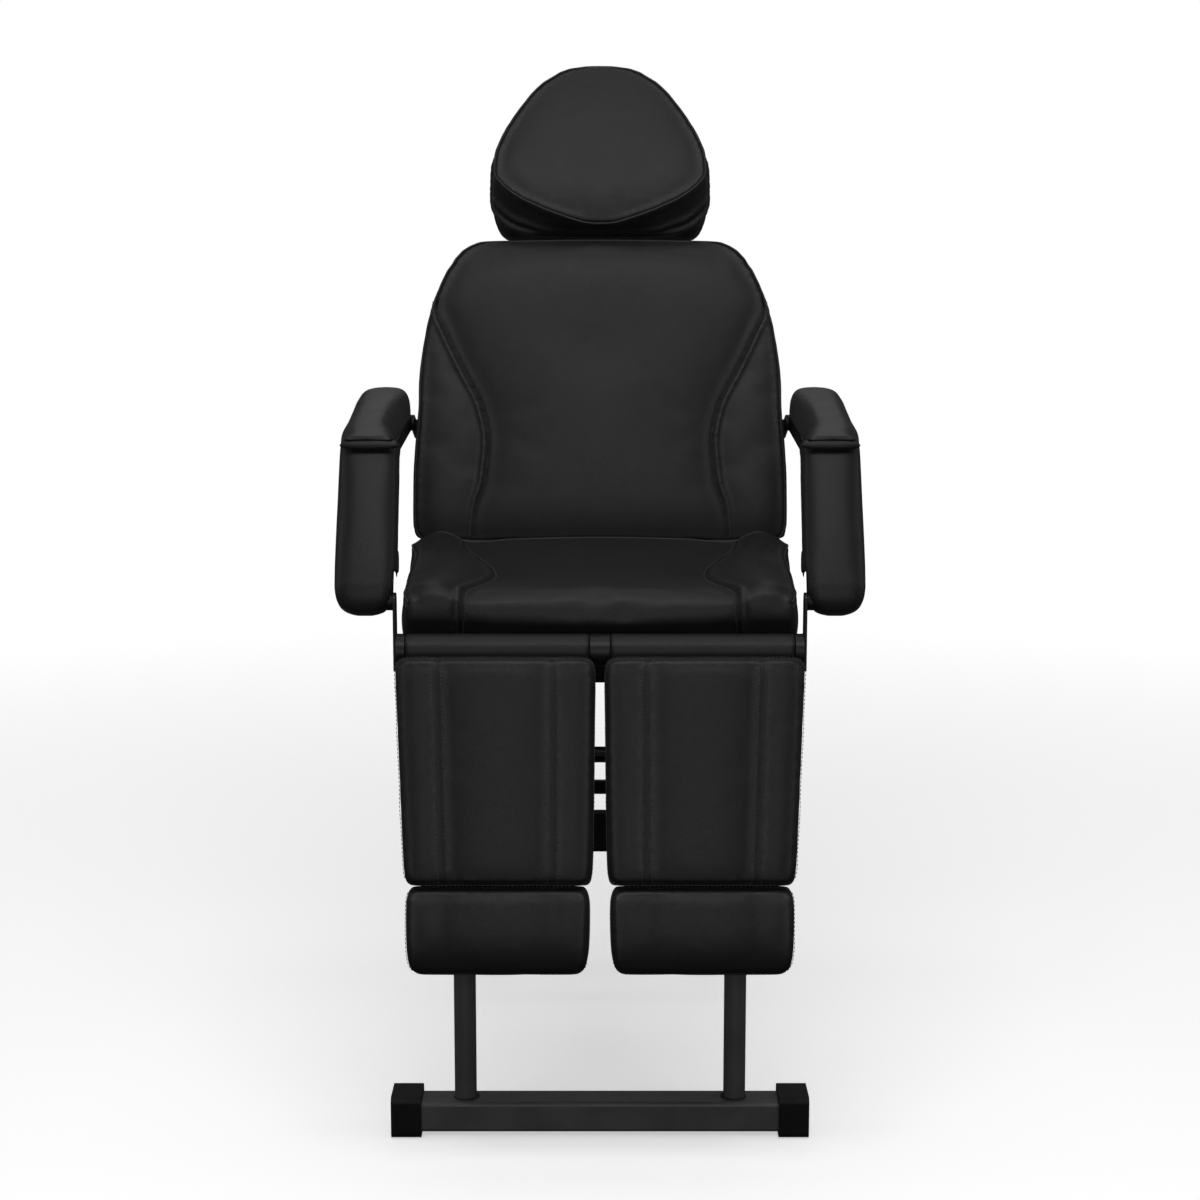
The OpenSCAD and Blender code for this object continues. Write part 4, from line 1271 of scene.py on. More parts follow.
@dataclass(frozen=True)
class BoxedForm:
    """Boxed cushion: a front face in three panels, a bowed side band and a flat back.

    Rows run along the cushion: share of the length, half width, centre, front share, back share,
    seam share and edge share. Depths are measured from the board plane, towards the sitter.
    """

    pose: Pose
    rows: tuple[tuple[float, ...], ...]
    start: float
    length: float
    style: Style

    def at(self, s: Array) -> Array:
        """Rows at shares of the length: half width, centre and the four shares, (m, 6)."""
        table = np.array(self.rows)
        return smooth_through(s, table[:, 0], table[:, 1:])

    def depth(self, x: Array, row: Array) -> Array:
        """Front face's height over the board at |x| from the centre line.

        Inside the seam: seam + crown (1 - (x / xs)^2). Outside it: a straight run from the seam's
        height to the edge's, plus side_crown 4 t (1 - t). Both times the front share. The edge's
        height is also times the edge share.

        Args:
            x: distances from the centre line, (m,) or (m, n).
            row: rows at the same places, (..., 6).

        Returns:
            Heights over the board, as x.
        """
        look = self.style
        half, share = row[..., 0], row[..., 2]
        xs = half * row[..., 4]
        lip = half - look.bow
        inner = look.seam + look.crown * (1 - np.clip(np.abs(x) / xs, 0, 1) ** 2)
        t = np.clip((np.abs(x) - xs) / np.maximum(lip - xs, 1e-6), 0, 1)
        outer = lerp(look.seam, look.edge * row[..., 5], t) + look.side_crown * swell(t)
        return share * np.where(np.abs(x) < xs, inner, outer)

    def surface(self, along: int, band: int = 8, face: int = 64, under: int = 24) -> Array:
        """Loops round the cushion: the band at +X, the face, the band at -X and the back.

        The band's x is half - bow (2 t - 1)^2, so that it bows out between its two seams.

        Args:
            along: number of loops.
            band: points across a side band.
            face: points across the face.
            under: points across the back.

        Returns:
            Points in the chair's frame, (along, n, 3).
        """
        s = 0.5 - 0.5 * np.cos(np.linspace(0, math.pi, along))
        row = self.at(s)[:, None]
        half, centre, front, back = (row[..., k] for k in range(4))
        edge = self.style.edge * front * row[..., 5]
        t = np.linspace(0, 1, band)[None]
        bow_x = half - self.style.bow * (2 * t - 1) ** 2
        bow_y = -lerp(self.style.edge * back, edge, t)
        u = np.linspace(1, -1, face)[None, 1:-1]
        face_x = u * (half - self.style.bow)
        face_y = -self.depth(face_x, np.broadcast_to(row, face_x.shape + (6,)))
        v = np.linspace(-1, 1, under)[None, 1:-1]
        under_x = v * (half - self.style.bow)
        under_y = -self.style.edge * back * np.ones_like(v)
        x = np.hstack([bow_x, face_x, -bow_x[:, ::-1], under_x]) + centre
        y = np.hstack([bow_y, face_y, bow_y[:, ::-1], under_y])
        z = np.broadcast_to((self.start + s * self.length)[:, None], x.shape)
        return self.pose.place(np.stack([x, y, z], axis=-1))

    def on_face(self, s: Array, row: Array, x: Array) -> Array:
        """Points on the front face, at shares of the length and distances from its centre line."""
        z = self.start + s * self.length
        return self.pose.place(np.stack([x + row[:, 1], -self.depth(x, row), z], axis=-1))

    def line(self, s: Array, x_share: Array | float) -> Array:
        """Line on the front face at shares of the length and of the half width inside the band.

        Args:
            s: shares of the length, (n,).
            x_share: shares of the half width inside the band.

        Returns:
            Points, (n, 3).
        """
        row = self.at(s)
        return self.on_face(s, row, x_share * (row[:, 0] - self.style.bow))

    def seam_line(self, low: float, high: float, sign: int) -> Array:
        """The sewn line between the middle and a side panel.

        Args:
            low: share of the length where it starts.
            high: where it ends.
            sign: 1 on the sitter's left, -1 on the right.

        Returns:
            Points, (60, 3).
        """
        s = np.linspace(low, high, 60)
        row = self.at(s)
        return self.on_face(s, row, sign * row[:, 0] * row[:, 4])

    def rim(self, low: float = 0.0, high: float = 1.0, closed: bool = True) -> Array:
        """Line where the front face meets its side band.

        It runs up the edge at +X, across the far end and down the edge at -X.

        Args:
            low: share of the length at the near end.
            high: at the far end.
            closed: whether it goes back across the near end.

        Returns:
            Points at even steps, (n, 3).
        """
        s = np.linspace(low, high, 120)
        across = np.linspace(1, -1, 42)[1:-1]
        parts = [self.line(s, 1.0), self.line(np.full(40, high), across), self.line(s[::-1], -1.0)]
        if closed:
            parts.append(self.line(np.full(40, low), -across))
        return soften(resample(np.vstack(parts), 4.0, closed), 10, closed)

    def pressed(self, s: float, shadow: float, width: float, reach: float = 0.9) -> Seam:
        """Painted shade: a darkened band across the face, where a cushion meets it or it turns from
        the light.
        """
        across = np.linspace(-reach, reach, 60)
        return Seam(self.line(np.full(60, s), across), shadow=shadow, shadow_width=width)

    def board(self) -> tuple[Array, Array]:
        """A point of the board plane and the way the sitter is from it."""
        return self.pose.point(0, 0, 0), self.pose.way(0, -1, 0)


def scaled(rows: Sequence[Sequence[float]], half: float) -> tuple[tuple[float, ...], ...]:
    """Rows of shares with the half width in millimetres, the centre at zero and an edge share."""
    return tuple((r[0], r[1] * half, 0.0, *r[2:5], r[5] if len(r) > 5 else 1.0) for r in rows)


@dataclass
class Seat:
    """Seat cushion with two bolsters and a rolled front."""

    front_y: float = -316
    rear_y: float = 128
    board_z: float = 691
    half: float = 282
    style: Style = Style(82, 84, 7, 17, 7)
    rows: tuple = (
        (0, 0.92, 0.74, 0.6, 0.7), (0.012, 0.945, 0.88, 0.5, 0.7), (0.03, 0.96, 0.96, 0.43, 0.69),
        (0.05, 0.968, 1, 0.15, 0.68), (0.075, 0.972, 1.01, 0, 0.67), (0.15, 0.976, 1, 0, 0.63),
        (0.25, 0.984, 0.985, 0, 0.58), (0.4, 0.998, 0.98, 0, 0.54), (0.55, 1.004, 0.985, 0, 0.56),
        (0.7, 1.006, 1, 0, 0.62, 1.02), (0.78, 1.006, 1.02, 0, 0.65, 1.05),
        (0.87, 1.03, 1.05, 0, 0.69, 1.08),
        (0.94, 1.045, 1.13, 0, 0.71, 1.03), (0.98, 1.04, 1.16, 0, 0.715, 0.98),
        (1, 1.02, 1.12, 0.03, 0.715, 0.92),
    )

    def form(self) -> BoxedForm:
        """Form of the seat, lying on its board."""
        return BoxedForm(Pose(self.front_y, self.board_z, 90), scaled(self.rows, self.half), 0,
                         self.rear_y - self.front_y, self.style)

    def down_front(self, line: Array) -> Array:
        """The line, led on from its start down the rolled front towards the board.

        Args:
            line: points on the face from the front edge on, (n, 3).

        Returns:
            The longer line, (n + 14, 3).
        """
        t = np.linspace(0, 1, 14)
        x = line[0, 0] * lerp(1.03, 1.0, t)
        y = self.front_y + np.interp(t, (0, 0.5, 0.75, 1), (20, 9, 1, 1))
        z = self.board_z + lerp(14.0, 60.0, t)
        return soften(np.vstack([np.stack([x, y, z], axis=1), line]), 3)

    def cushion(self) -> Cushion:
        """The seat cushion with its seams.

        Returns:
            The cushion.
        """
        form = self.form()
        seams = [Seam(self.down_front(form.seam_line(0.012, 0.97, sign)), depth=3.4, width=3.2,
                      rows=(-4.4, 4.4), seed=3 + sign, roll=2.2) for sign in (1, -1)]
        seams.append(Seam(form.rim(0.012, 0.985, closed=False), depth=1.6, width=2.4, puff=0.4,
                          pucker=0.3, piping=2.0, seed=9))
        # painted shadow where the back meets the seat's rear
        seams.append(form.pressed(0.99, 0.75, 75.0))
        plain = grid_object("seat_pad", form.surface(90))
        return Cushion("seat_pad", "base", "seat_cushion", plain, back=form.board(), seams=seams)


@dataclass
class Upright:
    """Cushion that stands in front of its board, at a plane of its group."""

    pose: Pose
    plane: float
    start: float
    length: float
    half: float
    style: Style
    rows: tuple

    def form(self) -> BoxedForm:
        """Form of the cushion, in front of its board."""
        return BoxedForm(self.pose.child(self.plane, 0, 0), scaled(self.rows, self.half),
                         self.start, self.length, self.style)


@dataclass
class Back(Upright):
    """Back cushion with a waisted middle panel between two side panels."""

    plane: float = 45
    start: float = 6
    length: float = 488
    half: float = 295
    style: Style = Style(62, 61, 12, 7, 7)
    rows: tuple = (
        (0, 0.93, 0.94, 0.93, 0.69), (0.016, 0.975, 0.98, 0.72, 0.68), (0.037, 0.99, 1, 0.4, 0.67),
        (0.064, 0.998, 1, 0, 0.66), (0.12, 1, 1, 0, 0.645), (0.2, 1, 1, 0, 0.605),
        (0.32, 0.994, 1, 0, 0.592),
        (0.43, 0.981, 1, 0, 0.63), (0.55, 0.976, 1, 0, 0.73), (0.68, 0.949, 1, 0, 0.86),
        (0.78, 0.913, 1, 0, 0.96), (0.86, 0.865, 1, 0, 0.97), (0.92, 0.81, 0.99, 0, 0.97),
        (0.96, 0.758, 0.97, 0, 0.96), (0.985, 0.7, 0.9, 0.03, 0.95), (1, 0.62, 0.72, 0.08, 0.93),
    )

    def cushion(self) -> Cushion:
        """The back cushion with its seams.

        Returns:
            The cushion.
        """
        form = self.form()
        seams = [Seam(form.seam_line(0.02, 0.79, sign), depth=3.0, width=2.2, rows=(5.0 * sign,),
                      seed=5 + sign, roll=2.6) for sign in (1, -1)]
        seams.append(Seam(form.rim(), closed=True, depth=1.6, width=2.4, puff=0.4, pucker=0.25,
                          piping=2.0, seed=11))
        # painted shadow along the back's lower end, over the seat
        seams.append(form.pressed(0.0, 0.8, 48.0, 0.95))
        plain = grid_object("back_pad", form.surface(100))
        return Cushion("back_pad", "back", "back_cushion", plain, back=form.board(), seams=seams)


@dataclass
class Headrest(Upright):
    """Headrest cushion, rounded above and wide at the ears.

    A loop near its rear has rear_width of the half width and rear_height of the edge's height, and
    the band seam lies at share band of the way from the face's rim to that loop.
    """

    plane: float = -34
    start: float = -39
    length: float = 275
    half: float = 176
    rear_width: float = 0.985
    rear_height: float = 0.1
    band: float = 0.55
    style: Style = Style(93, 95, 5, 1, 5)
    rows: tuple = (
        (0, 0.82, 0.9, 0.08, 0.14, 0.36), (0.02, 0.885, 0.95, 0.03, 0.28, 0.38),
        (0.07, 0.945, 0.98, 0, 0.5, 0.44), (0.15, 0.99, 1, 0, 0.74, 0.56),
        (0.22, 1, 1, 0, 0.87, 0.76),
        (0.3, 0.995, 1, 0, 0.96, 1), (0.4, 0.99, 1, 0, 0.96, 1), (0.52, 0.93, 1, 0, 0.96, 1),
        (0.64, 0.833, 1, 0, 0.96, 1), (0.76, 0.708, 1, 0, 0.96, 1), (0.86, 0.582, 0.98, 0, 0.95, 1),
        (0.94, 0.42, 0.95, 0.02, 0.94, 1), (0.98, 0.3, 0.91, 0.06, 0.92, 1),
        (1, 0.13, 0.85, 0.12, 0.88, 1),
    )

    def loop(self, form: BoxedForm, front: bool) -> Array:
        """Closed line of 200 points from the top, round the face panel or the rear edge.

        Args:
            form: form of the headrest.
            front: whether it is the face panel and not the rear edge.

        Returns:
            Points, (200, 3).
        """
        s = np.linspace(0.0, 1.0, 160)
        row = form.at(s)
        x = row[:, 0] * (row[:, 4] if front else self.rear_width)
        flat = -self.rear_height * self.style.edge * np.ones_like(x)
        y = -form.depth(x, row) if front else flat
        z = form.start + s * form.length
        half = np.stack([x, y, z], axis=1)
        whole = np.vstack([half[::-1], half * np.array([-1.0, 1.0, 1.0])])
        even = resample(whole, 2.0, closed=True)
        at = np.linspace(0, len(even) - 1, 200).astype(int)
        return form.pose.place(soften(even[at], 6, closed=True))

    def cushion(self) -> Cushion:
        """The headrest cushion with its piping and its band seam.

        Returns:
            The cushion.
        """
        form = self.form()
        rim, rear = self.loop(form, True), self.loop(form, False)
        seams = [Seam(rim, closed=True, depth=1.6, width=2.4, puff=0.4, pucker=0.35, piping=2.2,
                      seed=21)]
        seams.append(Seam(lerp(rim, rear, self.band), closed=True, depth=3.4, width=3.4, puff=3.2,
                          pucker=0.4, dark=0.7, seed=23))
        return Cushion("headrest_pad", "headrest", "headrest_cushion",
                       grid_object("headrest_pad", form.surface(70)), voxel=5.0,
                       back=form.board(), seams=seams, cap=8)


@dataclass
class LegPads:
    """Calf pad and foot pad of one leg rest.

    Widths and centres run from the pad's lower end to its upper end.
    """

    pose: Pose
    side: Side

    def form(self, plane: float, start: float, length: float, halves: tuple, centres: tuple,
             seam: float, style: Style, rows: Sequence[Sequence[float]]) -> BoxedForm:
        """Form of a pad whose rows are share, width share, front share and back share.

        Args:
            plane: the board's face, along y from the knee's axis.
            start: lower end of the pad along the leg.
            length: its length along the leg.
            halves: half widths at both ends.
            centres: middles at both ends.
            seam: the seams' share of the half width.
            style: the section.
            rows: share of the length and its three shares.

        Returns:
            The form.
        """
        whole = [(s, half * lerp(*halves, s), self.side.value * lerp(*centres, s), front, back,
                  seam, 1) for s, half, front, back in rows]
        return BoxedForm(self.pose.child(plane, 0, 0), tuple(whole), start, length, style)

    def cushion(self, kind: str, body: str, form: BoxedForm, along: int, cap: float,
                seams: list[Seam]) -> Cushion:
        """Pad of that kind, riding on the side's body of that name.

        Args:
            kind: calf or foot.
            body: name of the body without its side.
            form: form of the pad.
            along: number of loops.
            cap: farthest that a point swells.
            seams: its seams.

        Returns:
            The cushion.
        """
        word = self.side.word
        node = f"{kind}_pad_{word}"
        return Cushion(f"{kind}_{word}", f"{body}_{word}", node,
                       grid_object(node + "_form", form.surface(along)), voxel=5.0, inset=3,
                       cap=cap, back=form.board(), seams=seams)

    def calf(self) -> Cushion:
        """Calf pad with two double-stitched seams and a stitched edge.

        Returns:
            The cushion.
        """
        sign = self.side.value
        look = Style(50, 53, 7, 4, 5)
        form = self.form(-14, -315.5, 304, (126.5, 136.5), (133, 139), 0.57, look, (
            (0, 0.94, 0.72, 0.12), (0.02, 0.978, 0.88, 0.04), (0.06, 0.995, 0.97, 0),
            (0.2, 1, 1, 0), (0.5, 1, 1, 0), (0.8, 1, 1, 0), (0.9, 1, 1, 0),
            (0.945, 0.995, 0.98, 0.22), (0.975, 0.98, 0.93, 0.34), (1, 0.94, 0.8, 0.46),
        ))
        seams = [Seam(form.seam_line(0.01, 0.99, way), depth=0.9, width=3.4, puff=0.4, pucker=0.15,
                      rows=(-6.4, 6.4), dark=0.3, seed=31 + way + 3 * sign)
                 for way in (1, -1)]
        seams.append(Seam(form.rim(0.02, 0.985), closed=True, depth=1.2, width=2.0, puff=0.3,
                          pucker=0.2, rows=(4.4,), seed=37 + sign))
        # painted shade along the calf pad's lower end
        seams.append(form.pressed(0.0, 0.6, 16.0))
        return self.cushion("calf", "leg_rest", form, 60, 7, seams)

    def foot(self) -> Cushion:
        """Foot pad with rounded corners and a stitched edge.

        Returns:
            The cushion.
        """
        form = self.form(-1, -432, 121, (122.5, 124), (134, 134), 0.6, Style(62, 64, 6, 2, 5), (
            (0, 0.87, 0.45, 0.15), (0.05, 0.935, 0.72, 0.06), (0.14, 0.972, 0.9, 0),
            (0.3, 0.995, 0.98, 0), (0.55, 1, 1, 0), (0.8, 1, 0.96, 0), (0.92, 0.98, 0.86, 0.03),
            (1, 0.93, 0.62, 0.12),
        ))
        # the last seam is a painted shadow on the foot pad's underside
        seams = [Seam(form.rim(0.06, 0.95), closed=True, depth=1.0, width=2.0, puff=0.3,
                      pucker=0.2, rows=(4.4,), seed=41 + self.side.value),
                 form.pressed(0.02, 1.0, 46.0)]
        return self.cushion("foot", "foot_rest", form, 40, 6, seams)


def sleeve(frame: dict, node: str, name: str, body: str, cap: float) -> Cushion:
    """Padded sleeve from its own solid, with the slots for its steel bars.

    Args:
        node: the solid that it replaces.
        name: the sleeve's name.
        body: the body that it rides on.
        cap: farthest that a point swells.

    Returns:
        The cushion.
    """
    made = placed(name, frame["nodes"][node].data.copy())
    work = bmesh.new()
    work.from_mesh(made.data)
    bmesh.ops.remove_doubles(work, verts=work.verts, dist=1e-5)
    work.to_mesh(made.data)
    work.free()
    return Cushion(name, body, node, made, voxel=4.0, inset=-1.0, cap=cap, spare=0.008)


# fittings


def signed_power(value: Array, power: float) -> Array:
    """sign(v) |v|^power, which squares up a circle when the power is small."""
    return np.sign(value) * np.abs(value) ** power


def rounded_block(name: str, centre: Sequence[float], half: Sequence[float],
                  square: float = 0.35) -> Object:
    """Block with rounded edges, as a superellipsoid.

    x = a c(v) c(u), y = b c(v) s(u) and z = h s(v), each sine and cosine as its signed power.

    Args:
        name: the piece's name.
        centre: its middle.
        half: its half sizes.
        square: power of the sines and cosines.

    Returns:
        The block.
    """
    u = np.linspace(0, 2 * math.pi, 32, endpoint=False)
    v = np.linspace(-0.5, 0.5, 13)[:, None] * math.pi
    flat = signed_power(np.cos(v), square)
    x = flat * signed_power(np.cos(u), square)
    y = flat * signed_power(np.sin(u), square)
    z = signed_power(np.sin(v), square) * np.ones_like(u)
    points = np.stack([x, y, z], axis=-1) * np.asarray(half, float) + np.asarray(centre, float)
    return grid_object(name, points, capped=False)


def weld(centre: Sequence[float], u: Sequence[float], v: Sequence[float], square: float,
         seed: int, size: float = 2.0) -> Object:
    """Bead round a joint: centre + u c(a) + v s(a), its radius uneven as a hand weld's is.

    Args:
        centre: middle of the joint.
        u: half axis of the ring.
        v: the other half axis.
        square: power of the sine and cosine, one for a round tube.
        seed: for the unevenness.
        size: mean radius of the bead.

    Returns:
        The bead.
    """
    a = np.linspace(0, 2 * math.pi, 240, endpoint=False)[:, None]
    spoke = (signed_power(np.cos(a), square) * np.asarray(u, float)
             + signed_power(np.sin(a), square) * np.asarray(v, float))
    middle, pitch, uneven, lump = np.asarray(centre, float), 1.6, 0.16, 4.5
    path = resample(spoke + middle, pitch, closed=True)
    radius = size * (1 + uneven * ripple(np.arange(len(path)) * pitch, lump, seed))
    return tube("bead", path, unit(path - middle), radius, closed=True)


class Head(Enum):
    """Kinds of bolt head."""

    BUTTON = "button"
    CAP_NUT = "cap nut"


@dataclass(frozen=True)
class Bolt:
    """Bolt head or cap nut on its washer, standing on a face."""

    at: tuple[float, float, float]
    axis: tuple[float, float, float]
    kind: Head
    radius: float

    def parts(self) -> list[Object]:
        """Washer and head, with every size a share of the head's radius.

        Returns:
            The washer, the hexagon of a cap nut, and the dome.
        """
        r = self.radius
        t = np.linspace(0, 0.46 * math.pi, 8)
        made = [lathe("washer", np.array([(1.5, 0), (1.56, 0.06), (1.56, 0.18), (1.5, 0.24)]) * r,
                      self.at, self.axis)]
        wide, foot, tall = 1.1, 0.24, 0.55
        if self.kind is Head.CAP_NUT:
            wide, foot, tall = 0.8, 0.9, 0.75
            hexagon = np.array([(0.94, 0.24), (1, 0.3), (1, 0.84), (0.9, 0.95)])
            made.append(lathe("hexagon", hexagon * r, self.at, self.axis, 6))
        dome = np.stack([wide * np.cos(t), foot + tall * np.sin(t)], axis=1)
        made.append(lathe("dome", dome * r, self.at, self.axis, 24))
        return made


@dataclass(frozen=True)
class Hem:
    """Cover folded over a board's edge and stapled to its rear face.

    across and up span the board's plane, and rear points away from the cushion. The fold is width
    wide and thick high, and its staples stand pitch apart, at share row of its width, each turned
    by about askew. staple is a staple's half length and half width, and staple_z its height.
    """

    node: str
    body: str
    rear: Array
    across: Array
    up: Array
    width: float = 21.0
    thick: float = 1.3
    pitch: float = 23.0
    step: float = 4.0
    waver: float = 1.6
    waver_pitch: float = 34.0
    pucker: float = 0.35
    pucker_pitch: float = 19.0
    overlap: float = 1.5
    row: float = 0.55
    askew: float = 0.12
    staple: tuple[float, float] = (5.2, 0.6)
    staple_z: tuple[float, float] = (-0.4, 1.0)

    def outline(self, board: Object) -> tuple[Array, Array, float]:
        """Rim of the rear face, the way out of it at each point, and the board's thickness.

        Args:
            board: the board's node.

        Returns:
            Points, directions and thickness.
        """
        points, _ = read_points(board.data)
        depth = points @ self.rear
        face = points[depth > depth.max() - 0.5]
        flat = np.stack([face @ self.across, face @ self.up], axis=1)
        middle = (flat.min(0) + flat.max(0)) / 2
        half = (flat.max(0) - flat.min(0)) / 2
        order = np.argsort(np.arctan2(*((flat - middle) / half).T[::-1]))
        rim = soften(resample(face[order], self.step, closed=True), 2, closed=True)
        share = np.stack([rim @ self.across, rim @ self.up], axis=1)
        share = (share - middle) / half
        out = share[:, :1] * self.across + share[:, 1:] * self.up
        return rim, out, float(depth.max() - depth.min())

    def build(self, frame: dict, finishes: Finishes) -> None:
        """Makes the fold and its staples.

        A ring of sections is swept round the rim: each point = rim + out o + rear r.

        Args:
            finishes: the materials.
        """
        rim, out, board_t = self.outline(frame["nodes"][self.node])
        along = np.arange(len(rim)) * self.step
        edge = -self.width - self.waver * ripple(along, self.waver_pitch, len(rim))
        wave = ripple(along, self.pucker_pitch, len(rim) + 1)
        swell_r = self.thick + self.pucker * (1 + wave)
        one = np.ones(len(rim))
        foot = -(board_t + self.overlap)
        section = [(1.4, foot), (1.9, -0.5 * board_t), (1.5, -1.0), (0.2, swell_r),
                   (self.row * edge, swell_r), (edge, self.thick), (edge, 0.05), (0, 0.05),
                   (0.3, foot)]
        points = np.stack([rim + (o * one)[:, None] * out + (r * one)[:, None] * self.rear
                           for o, r in section], axis=1)
        fold = grid_object(f"{self.node}_hem", points, wrap_rows=True, capped=False)
        finishes.fit(fold, self.body, "black_vinyl")
        lined = np.hstack([rim + self.row * edge[:, None] * out, out])
        seat = resample(lined, self.pitch, closed=True, middles=True)
        self.staples(seat[:, :3] + self.thick * self.rear, seat[:, 3:], finishes)

    def staples(self, centre: Array, out: Array, finishes: Finishes) -> None:
        """Staples across the fold: blocks centre + t x + side y + rear z, each a little askew.

        Args:
            centre: middles of the staples, (n, 3).
            out: the way out of the rim at each, (n, 3).
            finishes: the materials.
        """
        spin = np.random.default_rng(len(centre)).normal(0, self.askew, (len(centre), 1))
        side = unit(out)
        ahead = np.cross(side, self.rear)
        t = ahead * np.cos(spin) + side * np.sin(spin)
        s = side * np.cos(spin) - ahead * np.sin(spin)
        long, wide = self.staple
        corner = np.array([(x, y, z) for x in (-long, long) for y in (-wide, wide)
                           for z in self.staple_z])
        points = (centre[:, None] + corner[:, :1] * t[:, None] + corner[:, 1:2] * s[:, None]
                  + corner[:, 2:] * self.rear)
        one = np.array([(0, 1, 3, 2), (4, 6, 7, 5), (0, 4, 5, 1), (2, 3, 7, 6), (0, 2, 6, 4),
                        (1, 5, 7, 3)])
        faces = (one[None] + 8 * np.arange(len(centre))[:, None, None]).reshape(-1, 4)
        made = make_object(f"{self.node}_staples", points.reshape(-1, 3), faces, False)
        outward(made)
        finishes.fit(made, self.body, "zinc_steel", finishes.staple)


@dataclass(frozen=True)
class Fittings:
    """Bolts, welds, end plugs, the lobed knob, the spring's gland and the elbows' folds.

    A bead field is how far a weld's line lies off the tube that it goes round or meets.
    """

    recline: Pose
    upright_x: float = 188
    upright_y: float = -274
    leg_r: float = 15.5
    stay_r: float = 11
    bar_top: float = 51
    rail_x: float = 247
    rail_end_y: float = 182
    rail_bottom: float = 654
    rail_h: float = 22
    rear_leg_y: float = 84
    ear_face: float = 248
    tube_rear: float = 69.5
    cross_u: tuple[float, float] = (328.5, 387.5)
    knob_at: tuple[float, float, float] = (60, 113.2, 352)
    knob_r: float = 17.8
    spring_foot: Pose = Pose(8, 454, 35.15)
    spring_x: float = 60
    spring_r: float = 11
    spring_body: float = 207
    plug: tuple[float, float, float] = (14.2, 3.0, 10.2)
    stay_z: float = 430
    upper_tube_z: float = 545
    flat_member_z: float = 437
    flat_member_h: float = 54
    rear_tube: tuple[float, float] = (324.2, 263)
    leg_bead: float = 0.6
    tube_bead: float = 0.5
    side_bead: float = 1.2
    rear_bead: float = 1.0
    seat_bolt_x: float = 130
    rail_bolt_y: tuple[float, float] = (-120, 40)
    back_bolt_x: tuple[float, float] = (105, 165)
    elbow: tuple[float, float, float] = (323.0, -158.0, 961.5)
    fold: tuple[float, float, float] = (42.0, 8.0, 6.5)

    def build(self, finishes: Finishes) -> None:
        """Makes every fitting.

        Args:
            finishes: the materials.
        """
        for name, body, bolts in self.bolts():
            parts = [part for bolt in bolts for part in bolt.parts()]
            finishes.fit(joined(name, parts), body, "zinc_steel")
        finishes.fit(joined("frame_welds", self.welds()), "base", "black_paint")
        middle = self.rail_bottom + self.rail_h / 2
        plugs = [rounded_block("plug", (side.value * self.rail_x, self.rail_end_y, middle),
                               self.plug) for side in Side]
        finishes.fit(joined("rail_plugs", plugs), "base", "black_plastic")
        finishes.fit(self.knob(), "knob", "black_plastic")
        finishes.fit(self.gland(), "spring_body", "black_paint")
        for side in Side:
            x, y, z = self.elbow
            fold = rounded_block(f"elbow_fold_{side.word}", (side.value * x, y, z), self.fold,
                                 square=0.85)
            finishes.fit(fold, f"front_arm_{side.word}", "black_vinyl")

    def bolts(self) -> list[tuple[str, str, list[Bolt]]]:
        """Groups of bolts: name, body and places.

        Returns:
            One row for each group.
        """
        rear = tuple(self.recline.way(0, 1, 0))
        low = (0.0, 0.0, -1.0)
        base = [Bolt((sign * self.ear_face, self.recline.y, self.recline.z), (sign, 0, 0),
                     Head.CAP_NUT, 6) for sign in (1, -1)]
        for x, places in ((self.seat_bolt_x, (self.upright_y, self.rear_leg_y)),
                          (self.rail_x, self.rail_bolt_y)):
            base += [Bolt((sign * x, y, self.rail_bottom), low, Head.BUTTON, 5)
                     for sign in (1, -1) for y in places]
        back = [Bolt(tuple(self.recline.point(sign * x, self.tube_rear, u)), rear, Head.BUTTON, 5)
                for sign in (1, -1) for u in self.cross_u for x in self.back_bolt_x]
        return [("frame_bolts", "base", base), ("back_bolts", "back", back)]

    def welds(self) -> list[Object]:
        """Beads at the feet and heads of the uprights, at the stays and at the cross tubes.

        Returns:
            The beads.
        """
        r, s = self.leg_r + self.leg_bead, self.stay_r + self.tube_bead
        made = []
        for number, sign in enumerate((1, -1)):
            x, y = sign * self.upright_x, self.upright_y
            inner = sign * (self.upright_x - self.leg_r + self.side_bead)
            rear = y + self.leg_r - self.rear_bead
            up, flat_up = (0, 0, s), (0, 0, self.flat_member_h / 2 + self.tube_bead)
            for at, u, v, square, seed in (
                ((x, y, self.bar_top), (r, 0, 0), (0, r, 0), 1, 7),
                ((x, y, self.rail_bottom), (r, 0, 0), (0, r, 0), 1, 7),
                ((x, rear, self.stay_z), (s, 0, 0), up, 1, 11),
                ((inner, y, self.upper_tube_z), (0, s, 0), up, 1, 13),
                ((inner, y, self.flat_member_z), (0, s, 0), flat_up, 0.3, 17),
                ((inner, *self.rear_tube), (0, s, 0), up, 1, 19),
            ):
                made.append(weld(at, u, v, square, seed + number))
        return made

    def knob(self) -> Object:
        """Lobed grip over the guide knob's core, and its cap.

        Returns:
            The grip.
        """
        x, y, u = self.knob_at
        t = np.linspace(0, 0.5 * math.pi, 9)
        low = np.array([(0.8, -0.6), (0.97, -0.2), (1, 0.6), (1, 13.0)])
        crown = np.stack([0.72 + 0.28 * np.cos(t), 13.0 + 4.0 * np.sin(t)], axis=1)
        profile = np.vstack([low, crown]) * np.array([self.knob_r, 1.0])
        foot, axis = self.recline.point(x, y, u), self.recline.way(0, 1, 0)
        return lathe("knob_grip", profile, foot, axis, sides=96, lobes=6, lobe_depth=0.07)

